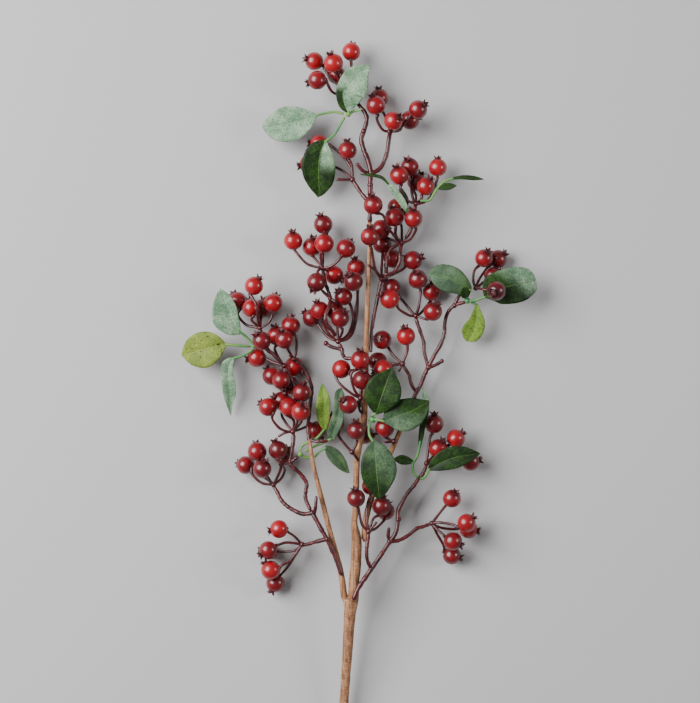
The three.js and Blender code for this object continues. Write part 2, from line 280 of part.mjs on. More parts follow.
// ---- leaves: [name, finish, blades, stalks, knobs] ----
// A blade has an edge lift and rows [x, y, z, half width to the left, half width to the right]
// from its base to its tip; a stalk is a line of points; a knob is [x, y, z, radius].
const leaves = [
  ['leaf_top_upright', 'leaf_pale', [
    [0.16, [[-1.6, 261.8, 17.4, 0.7, 0.7], [-3, 266, 18.4, 4, 7.4], [-3.7, 272.5, 20, 5, 11.4],
      [-1, 277.6, 21, 5.8, 10.4], [2, 281.6, 21.6, 5.4, 9.2], [6, 285, 22, 2.8, 5.2],
      [10, 286.8, 22, 0.2, 0.2]]],
  ], [[[-2, 261.3, 17], [1.4, 263, 16.4], [5.2, 263.6, 18.2]], [[-2, 261, 17], [-1.8, 263, 17.8]]],
  [[-2, 261.2, 17, 1.5]]],
  ['leaf_top_left', 'leaf_pale', [
    [0.14, [[-19, 260.8, 15.6, 0.7, 0.7], [-25, 259.3, 15, 7.4, 5.2], [-31, 258, 14, 10.4, 8],
      [-37, 256.6, 13, 10.4, 8.4], [-43, 255.6, 11.4, 7.8, 5.8], [-46.6, 255.2, 10.4, 4, 3.4],
      [-48.8, 255, 10, 0.2, 0.2]]],
  ], [[[-4.4, 261.4, 17], [-8, 262.3], [-12, 262.3], [-19.8, 260.6, 15.6]]], []],
  ['leaf_top_hanging', 'leaf_green', [
    [0.14, [[-14.4, 246.9, 18, 0.8, 1.4], [-16.6, 242, 17, 6.6, 7.2], [-18, 235, 15.6, 9, 9],
      [-18.2, 229, 14, 9, 8.4], [-18, 223.6, 12.4, 7.4, 6], [-18, 219.4, 11, 3.6, 3],
      [-18.5, 216.8, 10, 0.2, 0.2]]],
  ], [[[-4, 259.6, 16.6], [-5.5, 257], [-9, 251], [-12.2, 248], [-15, 246, 17.8]]], []],
  ['leaf_upper_right_inner', 'leaf_green', [
    [0.1, [[28.9, 209, 18.6, 0.7, 0.7], [28, 212, 19.4, 1.7, 1.7], [25, 216.4, 20.6, 2.1, 2.1],
      [21.4, 220.8, 21.4, 1.7, 1.7], [17.8, 224.8, 22, 0.4, 0.4]]],
    [0.1, [[19.6, 223, 22, 0.5, 0.5], [16, 226.6, 22.4, 0.9, 0.9], [10, 228, 22.6, 0.9, 0.9],
      [4.3, 228.2, 22.6, 0.2, 0.2]]],
    [0.1, [[28.6, 210.6, 19, 0.6, 0.6], [29.4, 214, 16.4, 1.4, 1.4], [28, 218, 14, 1.4, 1.4],
      [26.6, 222, 12.6, 0.2, 0.2]]],
  ], [[[31.4, 207.2, 16.2], [30, 208, 17.6], [28.6, 210, 18.8]]], []],
  ['leaf_upper_right_outer', 'leaf_green', [
    [0.1, [[45.6, 221.4, 18, 0.7, 0.7], [49, 221.8, 18.4, 1.8, 1.8], [53, 222.2, 18.6, 1.8, 1.8],
      [56.4, 222.6, 18.8, 0.2, 0.2]]],
    [0.1, [[54, 226.4, 18.4, 0.6, 0.6], [60, 227, 18.4, 1.2, 1.2], [66, 226.6, 18, 1.2, 1.2],
      [71, 226, 17.6, 0.2, 0.2]]],
  ], [[[36.8, 214.6, 17.2], [41.6, 214.6, 17.8], [44, 218, 18], [46, 221.5, 18]],
    [[45.6, 220.8, 18], [50, 224.8, 18.2], [55, 226.5, 18.4]]], []],
  ['leaf_far_left_upright', 'leaf_pale', [
    [0.16, [[-60.3, 142.6, 15.6, 0.7, 0.7], [-63, 146, 17, 6, 3.2], [-65.5, 151, 18.4, 9.4, 4.4],
      [-67.2, 155.6, 19, 8.8, 5.2], [-69, 160.6, 19.4, 6.2, 4.4], [-70.2, 164.4, 19.4, 3, 2.6],
      [-70.6, 167, 19.4, 0.2, 0.2]]],
  ], [[[-49.2, 137.2, 14.6], [-53, 136.4, 14.2]],
    [[-53, 136.2, 14.1], [-56.8, 140.6, 14.6], [-62, 144.8, 16.6]]],
  [[-53, 136.2, 14, 1.4]]],
  ['leaf_far_left', 'leaf_yellow', [
    [0.1, [[-68, 136.9, 15, 0.7, 0.7], [-72, 136.2, 14.6, 6, 6], [-77, 135.2, 14, 9.3, 9],
      [-82, 133.8, 13, 9.9, 9.4], [-87, 132.5, 11, 7.4, 7.4], [-90.6, 131.6, 9, 3.4, 3.6],
      [-92.5, 131, 8, 0.2, 0.2]]],
  ], [[[-54.9, 135.8, 14.2], [-60, 136.2, 15.2], [-68.6, 137, 15]]], []],
  ['leaf_far_left_hanging', 'leaf_pale', [
    [0.2, [[-64.2, 129.6, 14, 0.7, 0.7], [-66.5, 126, 13.6, 2.4, 3.8], [-67.5, 120.5, 12, 3.2, 3.5],
      [-67, 115, 11, 3.9, 3.6], [-66.7, 110, 9, 3.7, 3.2], [-66.6, 105, 7, 1.8, 2],
      [-66, 98.5, 5, 0.2, 0.2]]],
  ], [[[-53.6, 134.2, 13.8], [-56, 132.6], [-60, 130.6], [-64.8, 129.2, 14]]], []],
  ['leaf_right_inner', 'leaf_green', [
    [0.14, [[64.2, 166.4, 20, 0.7, 0.7], [61, 168.4, 20.4, 5.2, 3.6], [56, 171, 19.6, 6.8, 6.4],
      [51, 173, 18.4, 7.4, 7], [46, 174.6, 17.6, 5.8, 5.6], [43, 175.2, 17, 3.2, 3.2],
      [41.2, 175.4, 16.6, 0.2, 0.2]]],
    [0.2, [[61.7, 161.9, 18.2, 0.7, 0.7], [61, 163.6, 20.4, 2.4, 2.4], [60.6, 165.6, 22, 2.7, 2.7],
      [60.4, 167.6, 23, 0.3, 0.3]]],
  ], [[[61.4, 161.8, 17.8], [63, 164.4, 19.4], [63.8, 167, 20]]], []],
  ['leaf_right_outer', 'leaf_green', [
    [0.1, [[71.4, 162.4, 20, 0.7, 0.7], [75, 165, 20.6, 8, 6.4], [80, 167, 20.2, 9.4, 9],
      [86, 168.8, 19, 9.4, 10], [92, 170, 17.6, 8.8, 9.4], [96.5, 170.8, 16, 6.8, 6.8],
      [98.6, 171.3, 15.3, 4.4, 4.4], [99.5, 171.5, 15, 0.4, 0.4]]],
  ], [[[62.2, 160.5, 16], [66, 160.6, 17.6], [72, 162.6, 20]]], [[62.3, 160.5, 16, 1.6]]],
  ['leaf_right_hanging', 'leaf_yellow', [
    [0.12, [[67.6, 158.6, 15.4, 0.7, 0.7], [67.5, 154.6, 14.6, 2.4, 2.4], [67.3, 150, 13, 4.7, 4.3],
      [66.3, 145.5, 11, 5.3, 6.2], [64.8, 141.5, 9, 4.2, 5.8], [63.4, 139.4, 8, 2, 3.6],
      [62.9, 138.3, 7.8, 0.2, 0.2]]],
  ], [[[64.2, 159.2, 15.2], [66, 159.2, 15.2], [67.6, 158, 15.2]]], []],
  ['leaf_centre_top', 'leaf_green', [
    [0.1, [[12.8, 99.6, 26.4, 0.7, 0.7], [13.8, 103, 28.2, 5.4, 5.4], [15.2, 107.5, 29.6, 9, 9],
      [16.8, 112, 30, 9.7, 9.8], [18.6, 117, 30, 8, 8], [20.3, 121.4, 29.4, 3.6, 3.6],
      [21.4, 124.4, 29, 0.2, 0.2]]],
  ], [[[10.2, 98.4, 25.2], [11.5, 99.4, 26], [12.9, 100.2, 26.6]]], []],
  ['leaf_centre_right', 'leaf_green', [
    [0.08, [[17, 95.3, 26, 0.7, 0.7], [20.6, 97.2, 26.4, 6.2, 6], [25, 98.8, 26.8, 8, 9],
      [30, 100.5, 27, 7.8, 9.4], [35, 102.8, 26, 6, 7.4], [39, 105, 25, 2.8, 3.4],
      [41.5, 106.5, 24.4, 0.2, 0.2]]],
  ], [[[9, 95.8, 20.2], [11, 96.5, 23.6], [14, 96.4, 25.2], [17.6, 95.6, 26]]],
  [[11, 96.5, 23.6, 1.8]]],
  ['leaf_centre_low', 'leaf_green', [
    [0.08, [[11.4, 85.4, 27, 0.7, 0.7], [12, 81, 28.2, 6.4, 5], [12.5, 75.5, 29, 10, 7.6],
      [13, 69.5, 29, 11, 8.4], [13.5, 64, 28.6, 9.4, 7.4], [14.2, 58.5, 27.6, 5.4, 4.4],
      [14.5, 55.2, 26.8, 2, 2], [14.7, 53.3, 26.4, 0.2, 0.2]]],
  ], [[[9.8, 94.6, 24], [9, 92, 25], [9.4, 88, 26.4], [11.5, 84.6, 27.2]]], []],
  ['leaf_left_narrow', 'leaf_yellow', [
    [0.14, [[-14.5, 90.5, 16.8, 0.7, 0.7], [-15, 95, 18, 3, 2.6], [-15.2, 101, 19, 4.2, 3.4],
      [-15, 107, 20, 3.9, 3.2], [-15.6, 112, 20, 2.3, 1.9], [-16, 116, 20, 0.2, 0.2]]],
  ], [[[-28, 79.4, 15.4], [-27, 82, 14.6], [-24, 84, 14.4], [-19, 86.4, 15.2], [-14.6, 91.4, 17]]], []],
  ['leaf_left_grey', 'leaf_pale', [
    [0.16, [[-11.2, 85.4, 16.6, 1, 1], [-10.5, 89, 17.5, 3, 2.6], [-8.5, 95, 18.5, 3.3, 3.4],
      [-7.2, 101, 19.5, 2.8, 3], [-6.8, 107, 20, 3, 2.8], [-6.6, 111, 19.4, 2.4, 2.4],
      [-5.6, 113.4, 18.6, 0.2, 0.2]]],
  ], [[[-25.4, 79, 14.8], [-22, 81, 14.2], [-16, 83.6, 15], [-11, 86.2, 16.8]]], []],
  ['leaf_left_low', 'leaf_green', [
    [0.12, [[-14.5, 81.8, 15.6, 0.7, 0.7], [-11.5, 79.5, 16.4, 2.6, 3.4], [-8, 76, 17, 3.2, 4.2],
      [-4.8, 72, 17.4, 2.4, 3.4], [-2.6, 69, 17.6, 1.1, 1.8], [-1.4, 67.6, 17.6, 0.2, 0.2]]],
  ], [[[-28, 77.4, 15.6], [-24, 75.6, 14.4], [-20.4, 76.2, 14], [-17, 79.4], [-13.6, 81.4, 15.8]]],
  [[-28, 77.6, 15.6, 1.4]]],
  ['leaf_low_right_pair', 'leaf_green', [
    [0.12, [[33.4, 73.2, 13.6, 0.7, 0.7], [30, 74, 13.4, 2.2, 2.2], [26.6, 74.6, 13.2, 2.6, 2.6],
      [24, 74.8, 13, 1.4, 1.4], [22.6, 74.9, 13, 0.2, 0.2]]],
    [0.1, [[36.4, 81, 15.8, 0.6, 0.6], [37.2, 87, 16.6, 1.4, 1.4], [38, 93, 18, 1.6, 1.6],
      [39.6, 100, 18.6, 1.8, 1.8], [39.6, 107, 18.6, 1.7, 1.7], [38, 114, 18.2, 0.2, 0.2]]],
  ], [[[35.4, 65, 17.6], [33.4, 67.4, 17], [32.8, 70.5, 15], [33, 73.4, 13.6]],
    [[33.2, 73, 13.8], [35.4, 77, 14.8], [37, 85, 16.4]]], []],
  ['leaf_low_right_long', 'leaf_green', [
    [0.1, [[41.2, 69.6, 19, 0.7, 0.7], [45, 71.8, 20.6, 4, 3.3], [50, 74.3, 21.6, 5.8, 5.3],
      [56, 76.3, 22, 6, 5.8], [62, 77.3, 21.6, 4.4, 4], [66.5, 77.9, 20.6, 1.8, 1.8],
      [69, 78.1, 20, 0.2, 0.2]]],
  ], [[[36.6, 64.2, 17.8], [39, 65.2, 18], [40.6, 67.6, 18.4], [41.8, 70.2, 19.2]]], []],
];

// ---- shapes ----
function solidOf(geometry) {
  geometry.deleteAttribute('normal');
  geometry.deleteAttribute('uv');
  const merged = mergeVertices(geometry, 1e-4);
  const corners = merged.index.array;
  const triangles = [];
  for (let i = 0; i < corners.length; i += 3) {
    const [a, b, c] = [corners[i], corners[i + 1], corners[i + 2]];
    if (a !== b && b !== c && c !== a) triangles.push(a, b, c);
  }
  return new wasm.Manifold(new wasm.Mesh({
    numProp: 3,
    vertProperties: Float32Array.from(merged.attributes.position.array),
    triVerts: Uint32Array.from(triangles),
  }));
}

function joined(solids) {
  return solids.reduce((whole, next) => whole.add(next));
}

function mapPoints(geometry, place) {
  const position = geometry.attributes.position;
  const point = new THREE.Vector3();
  for (let i = 0; i < position.count; i += 1) {
    point.fromBufferAttribute(position, i);
    place(point, i);
    position.setXYZ(i, point.x, point.y, point.z);
  }
  return geometry;
}

// Fills in the heights left out between two points that have one.
function withHeights(points) {
  return points.map(([x, y, z], i) => {
    if (z !== undefined) return new THREE.Vector3(x, y, z);
    let before = i;
    let after = i;
    while (points[before][2] === undefined) before -= 1;
    while (points[after][2] === undefined) after += 1;
    const share = (i - before) / (after - before);
    return new THREE.Vector3(x, y, points[before][2] + share * (points[after][2] - points[before][2]));
  });
}

// A round rod along a smooth line; radii are spread evenly over its points.
function rod(points, radii, sides, step) {
  const line = new THREE.CatmullRomCurve3(points, false, 'centripetal');
  const steps = Math.max(1, Math.round(line.getLength() / step));
  const frames = line.computeFrenetFrames(steps, false);
  const corners = [];
  for (let i = 0; i < sides; i += 1) {
    const angle = (2 * Math.PI * i) / sides;
    corners.push(new THREE.Vector2(Math.cos(angle), Math.sin(angle)));
  }
  const straight = new THREE.ExtrudeGeometry(new THREE.Shape(corners), {
    depth: 1, steps, bevelEnabled: false,
  });
  return solidOf(mapPoints(straight, (point) => {
    const station = Math.round(point.z * steps);
    const along = station / steps;
    const slot = Math.min(along * (radii.length - 1), radii.length - 1.001);
    const first = Math.floor(slot);
    const radius = THREE.MathUtils.lerp(radii[first], radii[first + 1], slot - first);
    const side = frames.normals[station].clone().multiplyScalar(point.x * radius);
    const rise = frames.binormals[station].clone().multiplyScalar(point.y * radius);
    point.copy(line.getPointAt(along)).add(side).add(rise);
  }));
}

function knob([x, y, z, radius]) {
  return solidOf(new THREE.IcosahedronGeometry(radius, 0).translate(x, y, z));
}

// One berry with its five-pointed crown, standing on its pedicel end with the crown up.
function uprightBerry() {
  const profile = [...berryProfile, crownTip, [0, crownFloor]].map(([r, h]) => new THREE.Vector2(r, h));
  const geometry = new THREE.LatheGeometry(profile, 10);
  return mapPoints(geometry, (point, i) => {
    const column = Math.floor(i / profile.length);
    const row = i % profile.length;
    if (row !== berryProfile.length || column % 2 === 0) return;
    const scale = crownValley[0] / crownTip[0];
    point.set(point.x * scale, crownValley[1], point.z * scale);
  });
}

function crownDirection(plan, tilt) {
  const [a, b] = [THREE.MathUtils.degToRad(plan), THREE.MathUtils.degToRad(tilt)];
  return new THREE.Vector3(Math.cos(a) * Math.cos(b), Math.sin(a) * Math.cos(b), Math.sin(b));
}

function bunch(hub, berries, stalks) {
  const solids = [knob([...hub, 1.7])];
  for (const [x, y, z, plan, tilt, via] of berries) {
    const centre = new THREE.Vector3(x, y, z);
    const last = via.length ? via[0] : hub;
    const away = THREE.MathUtils.radToDeg(Math.atan2(y - last[1], x - last[0]));
    const direction = crownDirection(plan ?? away, tilt);
    const turn = new THREE.Quaternion().setFromUnitVectors(new THREE.Vector3(0, 1, 0), direction);
    const berry = uprightBerry().applyQuaternion(turn).translate(x, y, z);
    const foot = centre.addScaledVector(direction, -pedicelSink);
    const line = withHeights([foot.toArray(), ...via, hub]);
    solids.push(solidOf(berry), rod(line, [pedicelRadius, pedicelRadius], pedicelSides, pedicelStep));
  }
  for (const stalk of stalks) {
    solids.push(rod(withHeights(stalk), [pedicelRadius, pedicelRadius], pedicelSides, pedicelStep));
  }
  return joined(solids);
}

// A blade is a flat grid three points wide bent over its rows, its edges lifted or dropped.
function blade([lift, rows]) {
  const spans = rows.length - 1;
  const centres = rows.map(([x, y, z]) => new THREE.Vector3(x, y, z));
  const grid = new THREE.BoxGeometry(2, 1, leafThickness, 2, spans, 1);
  return solidOf(mapPoints(grid, (point) => {
    const row = Math.round((point.y + 0.5) * spans);
    const ahead = centres[Math.min(row + 1, spans)].clone().sub(centres[Math.max(row - 1, 0)]).normalize();
    const across = new THREE.Vector3(ahead.y, -ahead.x, 0).normalize();
    const up = across.clone().cross(ahead).normalize();
    const reach = point.x * (point.x < 0 ? rows[row][3] : rows[row][4]);
    const height = point.z + lift * Math.abs(reach);
    point.copy(centres[row]).addScaledVector(across, reach).addScaledVector(up, height);
  }));
}

// ---- assembly ----
const sprig = new THREE.Group();
sprig.name = 'cranberry_sprig';

function addNode(name, finish, solid) {
  const { vertProperties, triVerts } = solid.getMesh();
  const geometry = new THREE.BufferGeometry();
  geometry.setAttribute('position', new THREE.BufferAttribute(vertProperties, 3));
  geometry.setIndex(new THREE.BufferAttribute(triVerts, 1));
  geometry.computeVertexNormals();
  const mesh = new THREE.Mesh(geometry, new THREE.MeshStandardMaterial(finishes[finish]));
  mesh.name = name;
  sprig.add(mesh);
}

for (const [name, points] of stems) {
  const line = withHeights(points);
  addNode(name, 'paper_tape', rod(line, points.map((point) => point[3]), stemSides, stemStep));
}
for (const [name, branches, knobs] of twigs) {
  const rods = branches.map(([from, to, points]) => (
    rod(withHeights(points), [from, to], twigSides, twigStep)));
  addNode(name, 'dark_twig', joined([...rods, ...knobs.map(knob)]));
}
for (const [name, hub, berries, stalks] of bunches) {
  addNode(name, 'berry_skin', bunch(hub, berries, stalks));
}
for (const [name, finish, blades, stalks, knobs] of leaves) {
  const rods = stalks.map((stalk) => (
    rod(withHeights(stalk), [petioleRadius, petioleRadius], pedicelSides, pedicelStep)));
  addNode(name, finish, joined([...blades.map(blade), ...rods, ...knobs.map(knob)]));
}

// The sprig's frame sits under the middle of it, on the ground.
const bounds = new THREE.Box3().setFromObject(sprig);
const middle = bounds.getCenter(new THREE.Vector3());
for (const mesh of sprig.children) mesh.geometry.translate(-middle.x, -middle.y, -bounds.min.z);

export default sprig;
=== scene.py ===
# Cranberry sprig lying on a pale table: red berries with dark crowns on wiry maroon twigs, fabric leaves
# and a stem wound with tan crepe paper. Everything is built from the plan below, in millimetres.
import math
import random

import bpy
from mathutils import Matrix, Vector


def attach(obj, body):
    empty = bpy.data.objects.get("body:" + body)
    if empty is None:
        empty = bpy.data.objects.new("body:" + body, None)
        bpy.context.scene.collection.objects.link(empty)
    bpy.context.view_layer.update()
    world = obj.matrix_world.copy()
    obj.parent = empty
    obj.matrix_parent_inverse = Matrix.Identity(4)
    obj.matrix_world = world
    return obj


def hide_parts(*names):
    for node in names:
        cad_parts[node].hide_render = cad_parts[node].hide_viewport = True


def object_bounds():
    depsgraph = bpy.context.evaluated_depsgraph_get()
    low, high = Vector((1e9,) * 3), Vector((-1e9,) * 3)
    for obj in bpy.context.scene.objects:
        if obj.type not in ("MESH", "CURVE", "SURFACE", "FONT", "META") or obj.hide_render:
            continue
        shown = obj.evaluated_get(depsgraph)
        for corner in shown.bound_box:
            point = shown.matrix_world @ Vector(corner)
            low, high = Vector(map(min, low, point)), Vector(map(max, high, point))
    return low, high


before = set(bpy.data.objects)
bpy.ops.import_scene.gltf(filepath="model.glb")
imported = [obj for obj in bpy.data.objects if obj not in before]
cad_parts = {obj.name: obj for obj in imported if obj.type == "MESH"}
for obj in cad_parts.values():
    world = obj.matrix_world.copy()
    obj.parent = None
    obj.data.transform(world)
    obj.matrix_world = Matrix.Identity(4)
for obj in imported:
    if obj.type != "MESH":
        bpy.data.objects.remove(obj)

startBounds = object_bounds()
random.seed(41)

mmPerM = 1000
planLow = (-92.72, -127.18, -0.54)  # lowest corner of the plan, which sits on the frame's lowest corner
planShift = [startBounds[0][i] * mmPerM - planLow[i] for i in range(3)]

# Points of each taped stem: x, y, z and radius.
stemPlan = {
    "stem_main": [[-8.5, -127, 2.6, 2.45], [-7, -104, 3.5, 2.45], [-4.3, -56.7, 8, 2.45],
        [-2.5, -30, 12, 2.75], [-1.2, -9, 15.3, 3.2], [-0.6, -1.2, 16.4, 3.4]],
    "shoot_centre": [[0.7, -0.7, 16.8, 2.9], [1, 8, 17, 2.9], [2, 18, 17, 2.9], [2.4, 31, 17, 2.8],
        [1.2, 40, 17, 1.8], [1.9, 48, 17, 1.75], [2.2, 60, 17, 1.7], [2.6, 74, 17, 1.65],
        [4.2, 84, 17, 1.75], [6, 94, 17, 1.9], [6.8, 104, 17, 1.7], [7.2, 116, 17.2, 1.6],
        [7.6, 130, 17.4, 1.5], [7.8, 145, 17.5, 1.4], [8.4, 160, 17.5, 1.3], [9, 175, 17.5, 1.2],
        [9.5, 190, 17.5, 1], [9.6, 202.6, 17.5, 1]],
    "shoot_left": [[-4.2, 1, 15.8, 1.8], [-5.1, 8, 16, 1.7], [-6.5, 16, 16, 1.6], [-9.5, 27, 16, 1.5],
        [-12, 36, 16.2, 1.4], [-15, 48, 16.8, 1.4], [-17, 56, 17, 1.3], [-19, 64, 17.2, 1.2],
        [-21, 73, 17.6, 1.05], [-22.7, 83.6, 18, 1]],
    "shoot_right": [[6.8, 33.6, 14.8, 1.7], [7, 38, 14.6, 1.7], [8, 45, 14, 1.7], [10.3, 53, 13, 1.6],
        [14, 62, 12, 1.6], [19, 74, 12, 1.5], [22.5, 82, 12, 1.4], [25.5, 89, 12.6, 1.3],
        [29, 97, 13.4, 1.2], [32.6, 105.6, 14, 1.2]],
}

# A rod is a start radius, an end radius and points, some without a height; a knob is x, y, z and radius.
twigPlan = {
    "twig_low_left": {"rods": [
        [1.2, 1.1, [[-5.7, 13.5, 19.6], [-8.5, 21], [-11, 27], [-13.5, 32, 19.8], [-17, 38],
            [-20, 43.5], [-21.5, 46, 17]]],
        [1.1, 0.9, [[-13.5, 32, 19.8], [-19, 30.5], [-24, 28.8, 13.5], [-25.1, 28.6, 12.6]]],
        [0.9, 0.8, [[-20.7, 45, 17.6], [-19.7, 49, 20.2], [-19.3, 54, 20.4]]],
        [1.1, 0.9, [[-21.5, 46, 17], [-26, 45.3], [-31, 47], [-35.5, 49.8], [-38.5, 53], [-40.5, 57],
            [-41.8, 59, 11.4]]],
    ], "knobs": [[-13.5, 32, 19.8, 1.5], [-21.5, 46, 17, 1.6]]},
    "twig_mid_left": {"rods": [
        [1, 1, [[-22.9, 48.6, 16], [-25, 53, 15], [-25, 58], [-24.6, 62], [-28, 67], [-32, 70.5],
            [-33.5, 73.5, 15], [-32.8, 78], [-31.7, 85], [-31.8, 87.4, 14]]],
        [0.9, 0.8, [[-33, 73.3, 15], [-30, 75.8, 15.6]]],
    ], "knobs": [[-33.4, 73.4, 15, 1.4]]},
    "twig_left_upper": {"rods": [
        [1, 0.9, [[-22.8, 84.7, 18], [-23.3, 87], [-23.8, 92, 17], [-23.2, 100, 13], [-22.3, 107, 11],
            [-21.8, 113, 11], [-22.8, 117], [-25, 122], [-28.5, 126.5], [-29.8, 127.6, 11.8]]],
        [0.9, 0.9, [[-23.4, 99, 13.4], [-27, 105, 11.5], [-31, 113, 11.5], [-33, 118, 12.5],
            [-35.4, 123, 12.8]]],
        [0.7, 0.7, [[-22.9, 85.6, 18], [-18.5, 84.4, 20.5], [-14.2, 84.9, 20.5]]],
    ], "knobs": [[-23.4, 99, 13.4, 1.4]]},
    "twig_far_left": {"rods": [
        [1, 0.9, [[-40.4, 129.8, 13.5], [-43, 132, 14], [-46, 134.5], [-48.5, 142], [-49.4, 143.9, 13.8]]],
    ], "knobs": [[-46, 134.5, 14, 1.3]]},
    "twig_upper_left": {"rods": [
        [1, 0.9, [[5.2, 127, 18.2], [3, 128.6], [-1, 129.3], [-3.5, 129.5, 14.5], [-5, 131.5],
            [-5.5, 134.5], [-6.6, 136.4, 14]]],
        [0.9, 0.8, [[-5.4, 134.2, 14], [-11, 135.6, 13], [-13.8, 137.3, 12.6]]],
    ], "knobs": [[-14, 137.5, 12.6, 1.4], [-5.4, 134, 14, 1.2]]},
    "twig_upper_left_tip": {"rods": [
        [1, 0.9, [[-9.6, 142.4, 18.2], [-10.2, 143.6, 19.6], [-13.5, 147.5, 22.6], [-14.3, 152, 23.4],
            [-12.5, 157, 22], [-11.7, 162, 18], [-13, 166], [-15, 172, 15.4], [-15.6, 176.2, 14.2]]],
        [0.8, 0.7, [[-11.9, 161.6, 18.4], [-9.6, 160.3, 19.5]]],
        [0.8, 0.7, [[-12, 162, 18], [-15.5, 165.3, 18]]],
    ], "knobs": [[-11.8, 161.8, 18.2, 1.3]]},
    "twig_top": {"rods": [
        [1.1, 1.3, [[9.6, 203.6, 17.5], [9.7, 212, 18], [9.8, 220], [9.9, 226], [10.3, 229.5, 18]]],
        [0.9, 0.8, [[10.3, 229.5, 18], [6.5, 230], [3.3, 233.6, 19]]],
        [1.25, 1, [[10.3, 229.5, 18], [8.7, 236], [6.5, 241.5], [5, 247.5], [6.3, 252], [8, 258],
            [7, 262], [4.5, 265.5, 14.4], [1.6, 269.2, 13.2]]],
        [1.15, 1, [[10.3, 229.5, 18], [14, 231], [17, 235], [19, 241], [19.8, 247, 15.2],
            [20.3, 250, 14.4]]],
        [0.9, 0.9, [[9.7, 213, 18], [5, 218.5], [1.3, 224.3, 15.3]]],
    ], "knobs": [[9.8, 223, 18, 1.6], [10.3, 229.5, 18, 1.6], [6.3, 252, 16.6, 1.5]]},
    "twig_upper_right": {"rods": [
        [0.9, 0.9, [[10.1, 134, 16.6], [10.4, 142, 15], [11.4, 150], [13.2, 159], [14.9, 168, 14.4],
            [15.6, 170.2, 14.2]]],
    ]},
    "twig_upper_right_mid": {"rods": [
        [0.9, 0.8, [[18.4, 174.8, 16.2], [18.6, 177.5, 15], [19, 184, 13], [21, 188.5],
            [24.6, 190.9, 12.6]]],
        [0.9, 0.8, [[18.4, 174.8, 16.2], [20.5, 175, 16.2], [23, 176.5], [25.5, 181, 15.6],
            [26, 186, 15], [26.6, 189.9, 13.4]]],
    ]},
    "twig_upper_right_tip": {"rods": [
        [0.9, 0.9, [[29.2, 194.9, 11.4], [30.8, 197], [32, 200, 12.4], [33, 206, 14],
            [34.1, 210.8, 14.8]]],
    ]},
    "twig_centre_right": {"rods": [
        [1.1, 1, [[33.2, 106.8, 14], [34.7, 111], [37, 114.5, 13], [38.5, 118.5], [40, 122],
            [41.3, 124.5, 14]]],
        [0.9, 0.8, [[34.9, 111.3, 13.8], [32.5, 114.5], [31, 120], [29.5, 122.6], [28.5, 124.2, 13]]],
        [0.9, 0.8, [[41.3, 124.5, 14], [44.5, 125.5], [48.5, 127.8, 14]]],
        [0.9, 0.9, [[41.3, 124.5, 14], [39.3, 132], [38.8, 138], [37.3, 143], [35.4, 148.5],
            [34.9, 150.1, 13]]],
        [1, 0.9, [[41.3, 124.5, 14], [44.5, 131], [48, 137], [50, 143, 12.6], [50.3, 149], [52, 154.5],
            [55.5, 158, 14.6], [60.1, 159.4, 15.6]]],
        [0.8, 0.8, [[55.5, 158, 14.6], [57, 161.6], [58.6, 164, 14.6]]],
    ], "knobs": [[41.3, 124.5, 14, 1.6], [48.6, 127.9, 14, 1.2], [55.5, 158, 14.6, 1.4]]},
    "twig_low_right": {"rods": [
        [1.2, 1.1, [[1.2, 0.4, 21.4], [3.5, 6, 21.6], [8, 12.5, 20.4], [11.5, 17.5], [15, 22.5],
            [18, 27], [20.3, 30.5, 17]]],
        [0.8, 0.8, [[20.1, 30.3, 17], [19.5, 34], [19.8, 36.8, 18]]],
        [1, 0.9, [[20.3, 30.5, 17], [25, 31], [30, 33.5], [35, 37.3], [38.5, 38.3], [41, 39.2, 12.6]]],
        [1.1, 0.9, [[20.3, 30.5, 17], [23, 34], [24.3, 38], [24.9, 43], [25, 47], [27, 51.5],
            [30, 56.5], [33, 60], [36, 64.3], [38, 66.5], [39.3, 69.2], [39.8, 70.5, 14.2]]],
        [0.9, 0.9, [[10.4, 16.2, 20], [8.5, 20, 21.4], [7.8, 25, 22], [8.3, 30], [8.8, 34.2, 22]]],
    ], "knobs": [[20.3, 30.5, 17, 1.6], [25, 42.4, 16.4, 1.6], [10.3, 16, 20, 1.4]]},
}

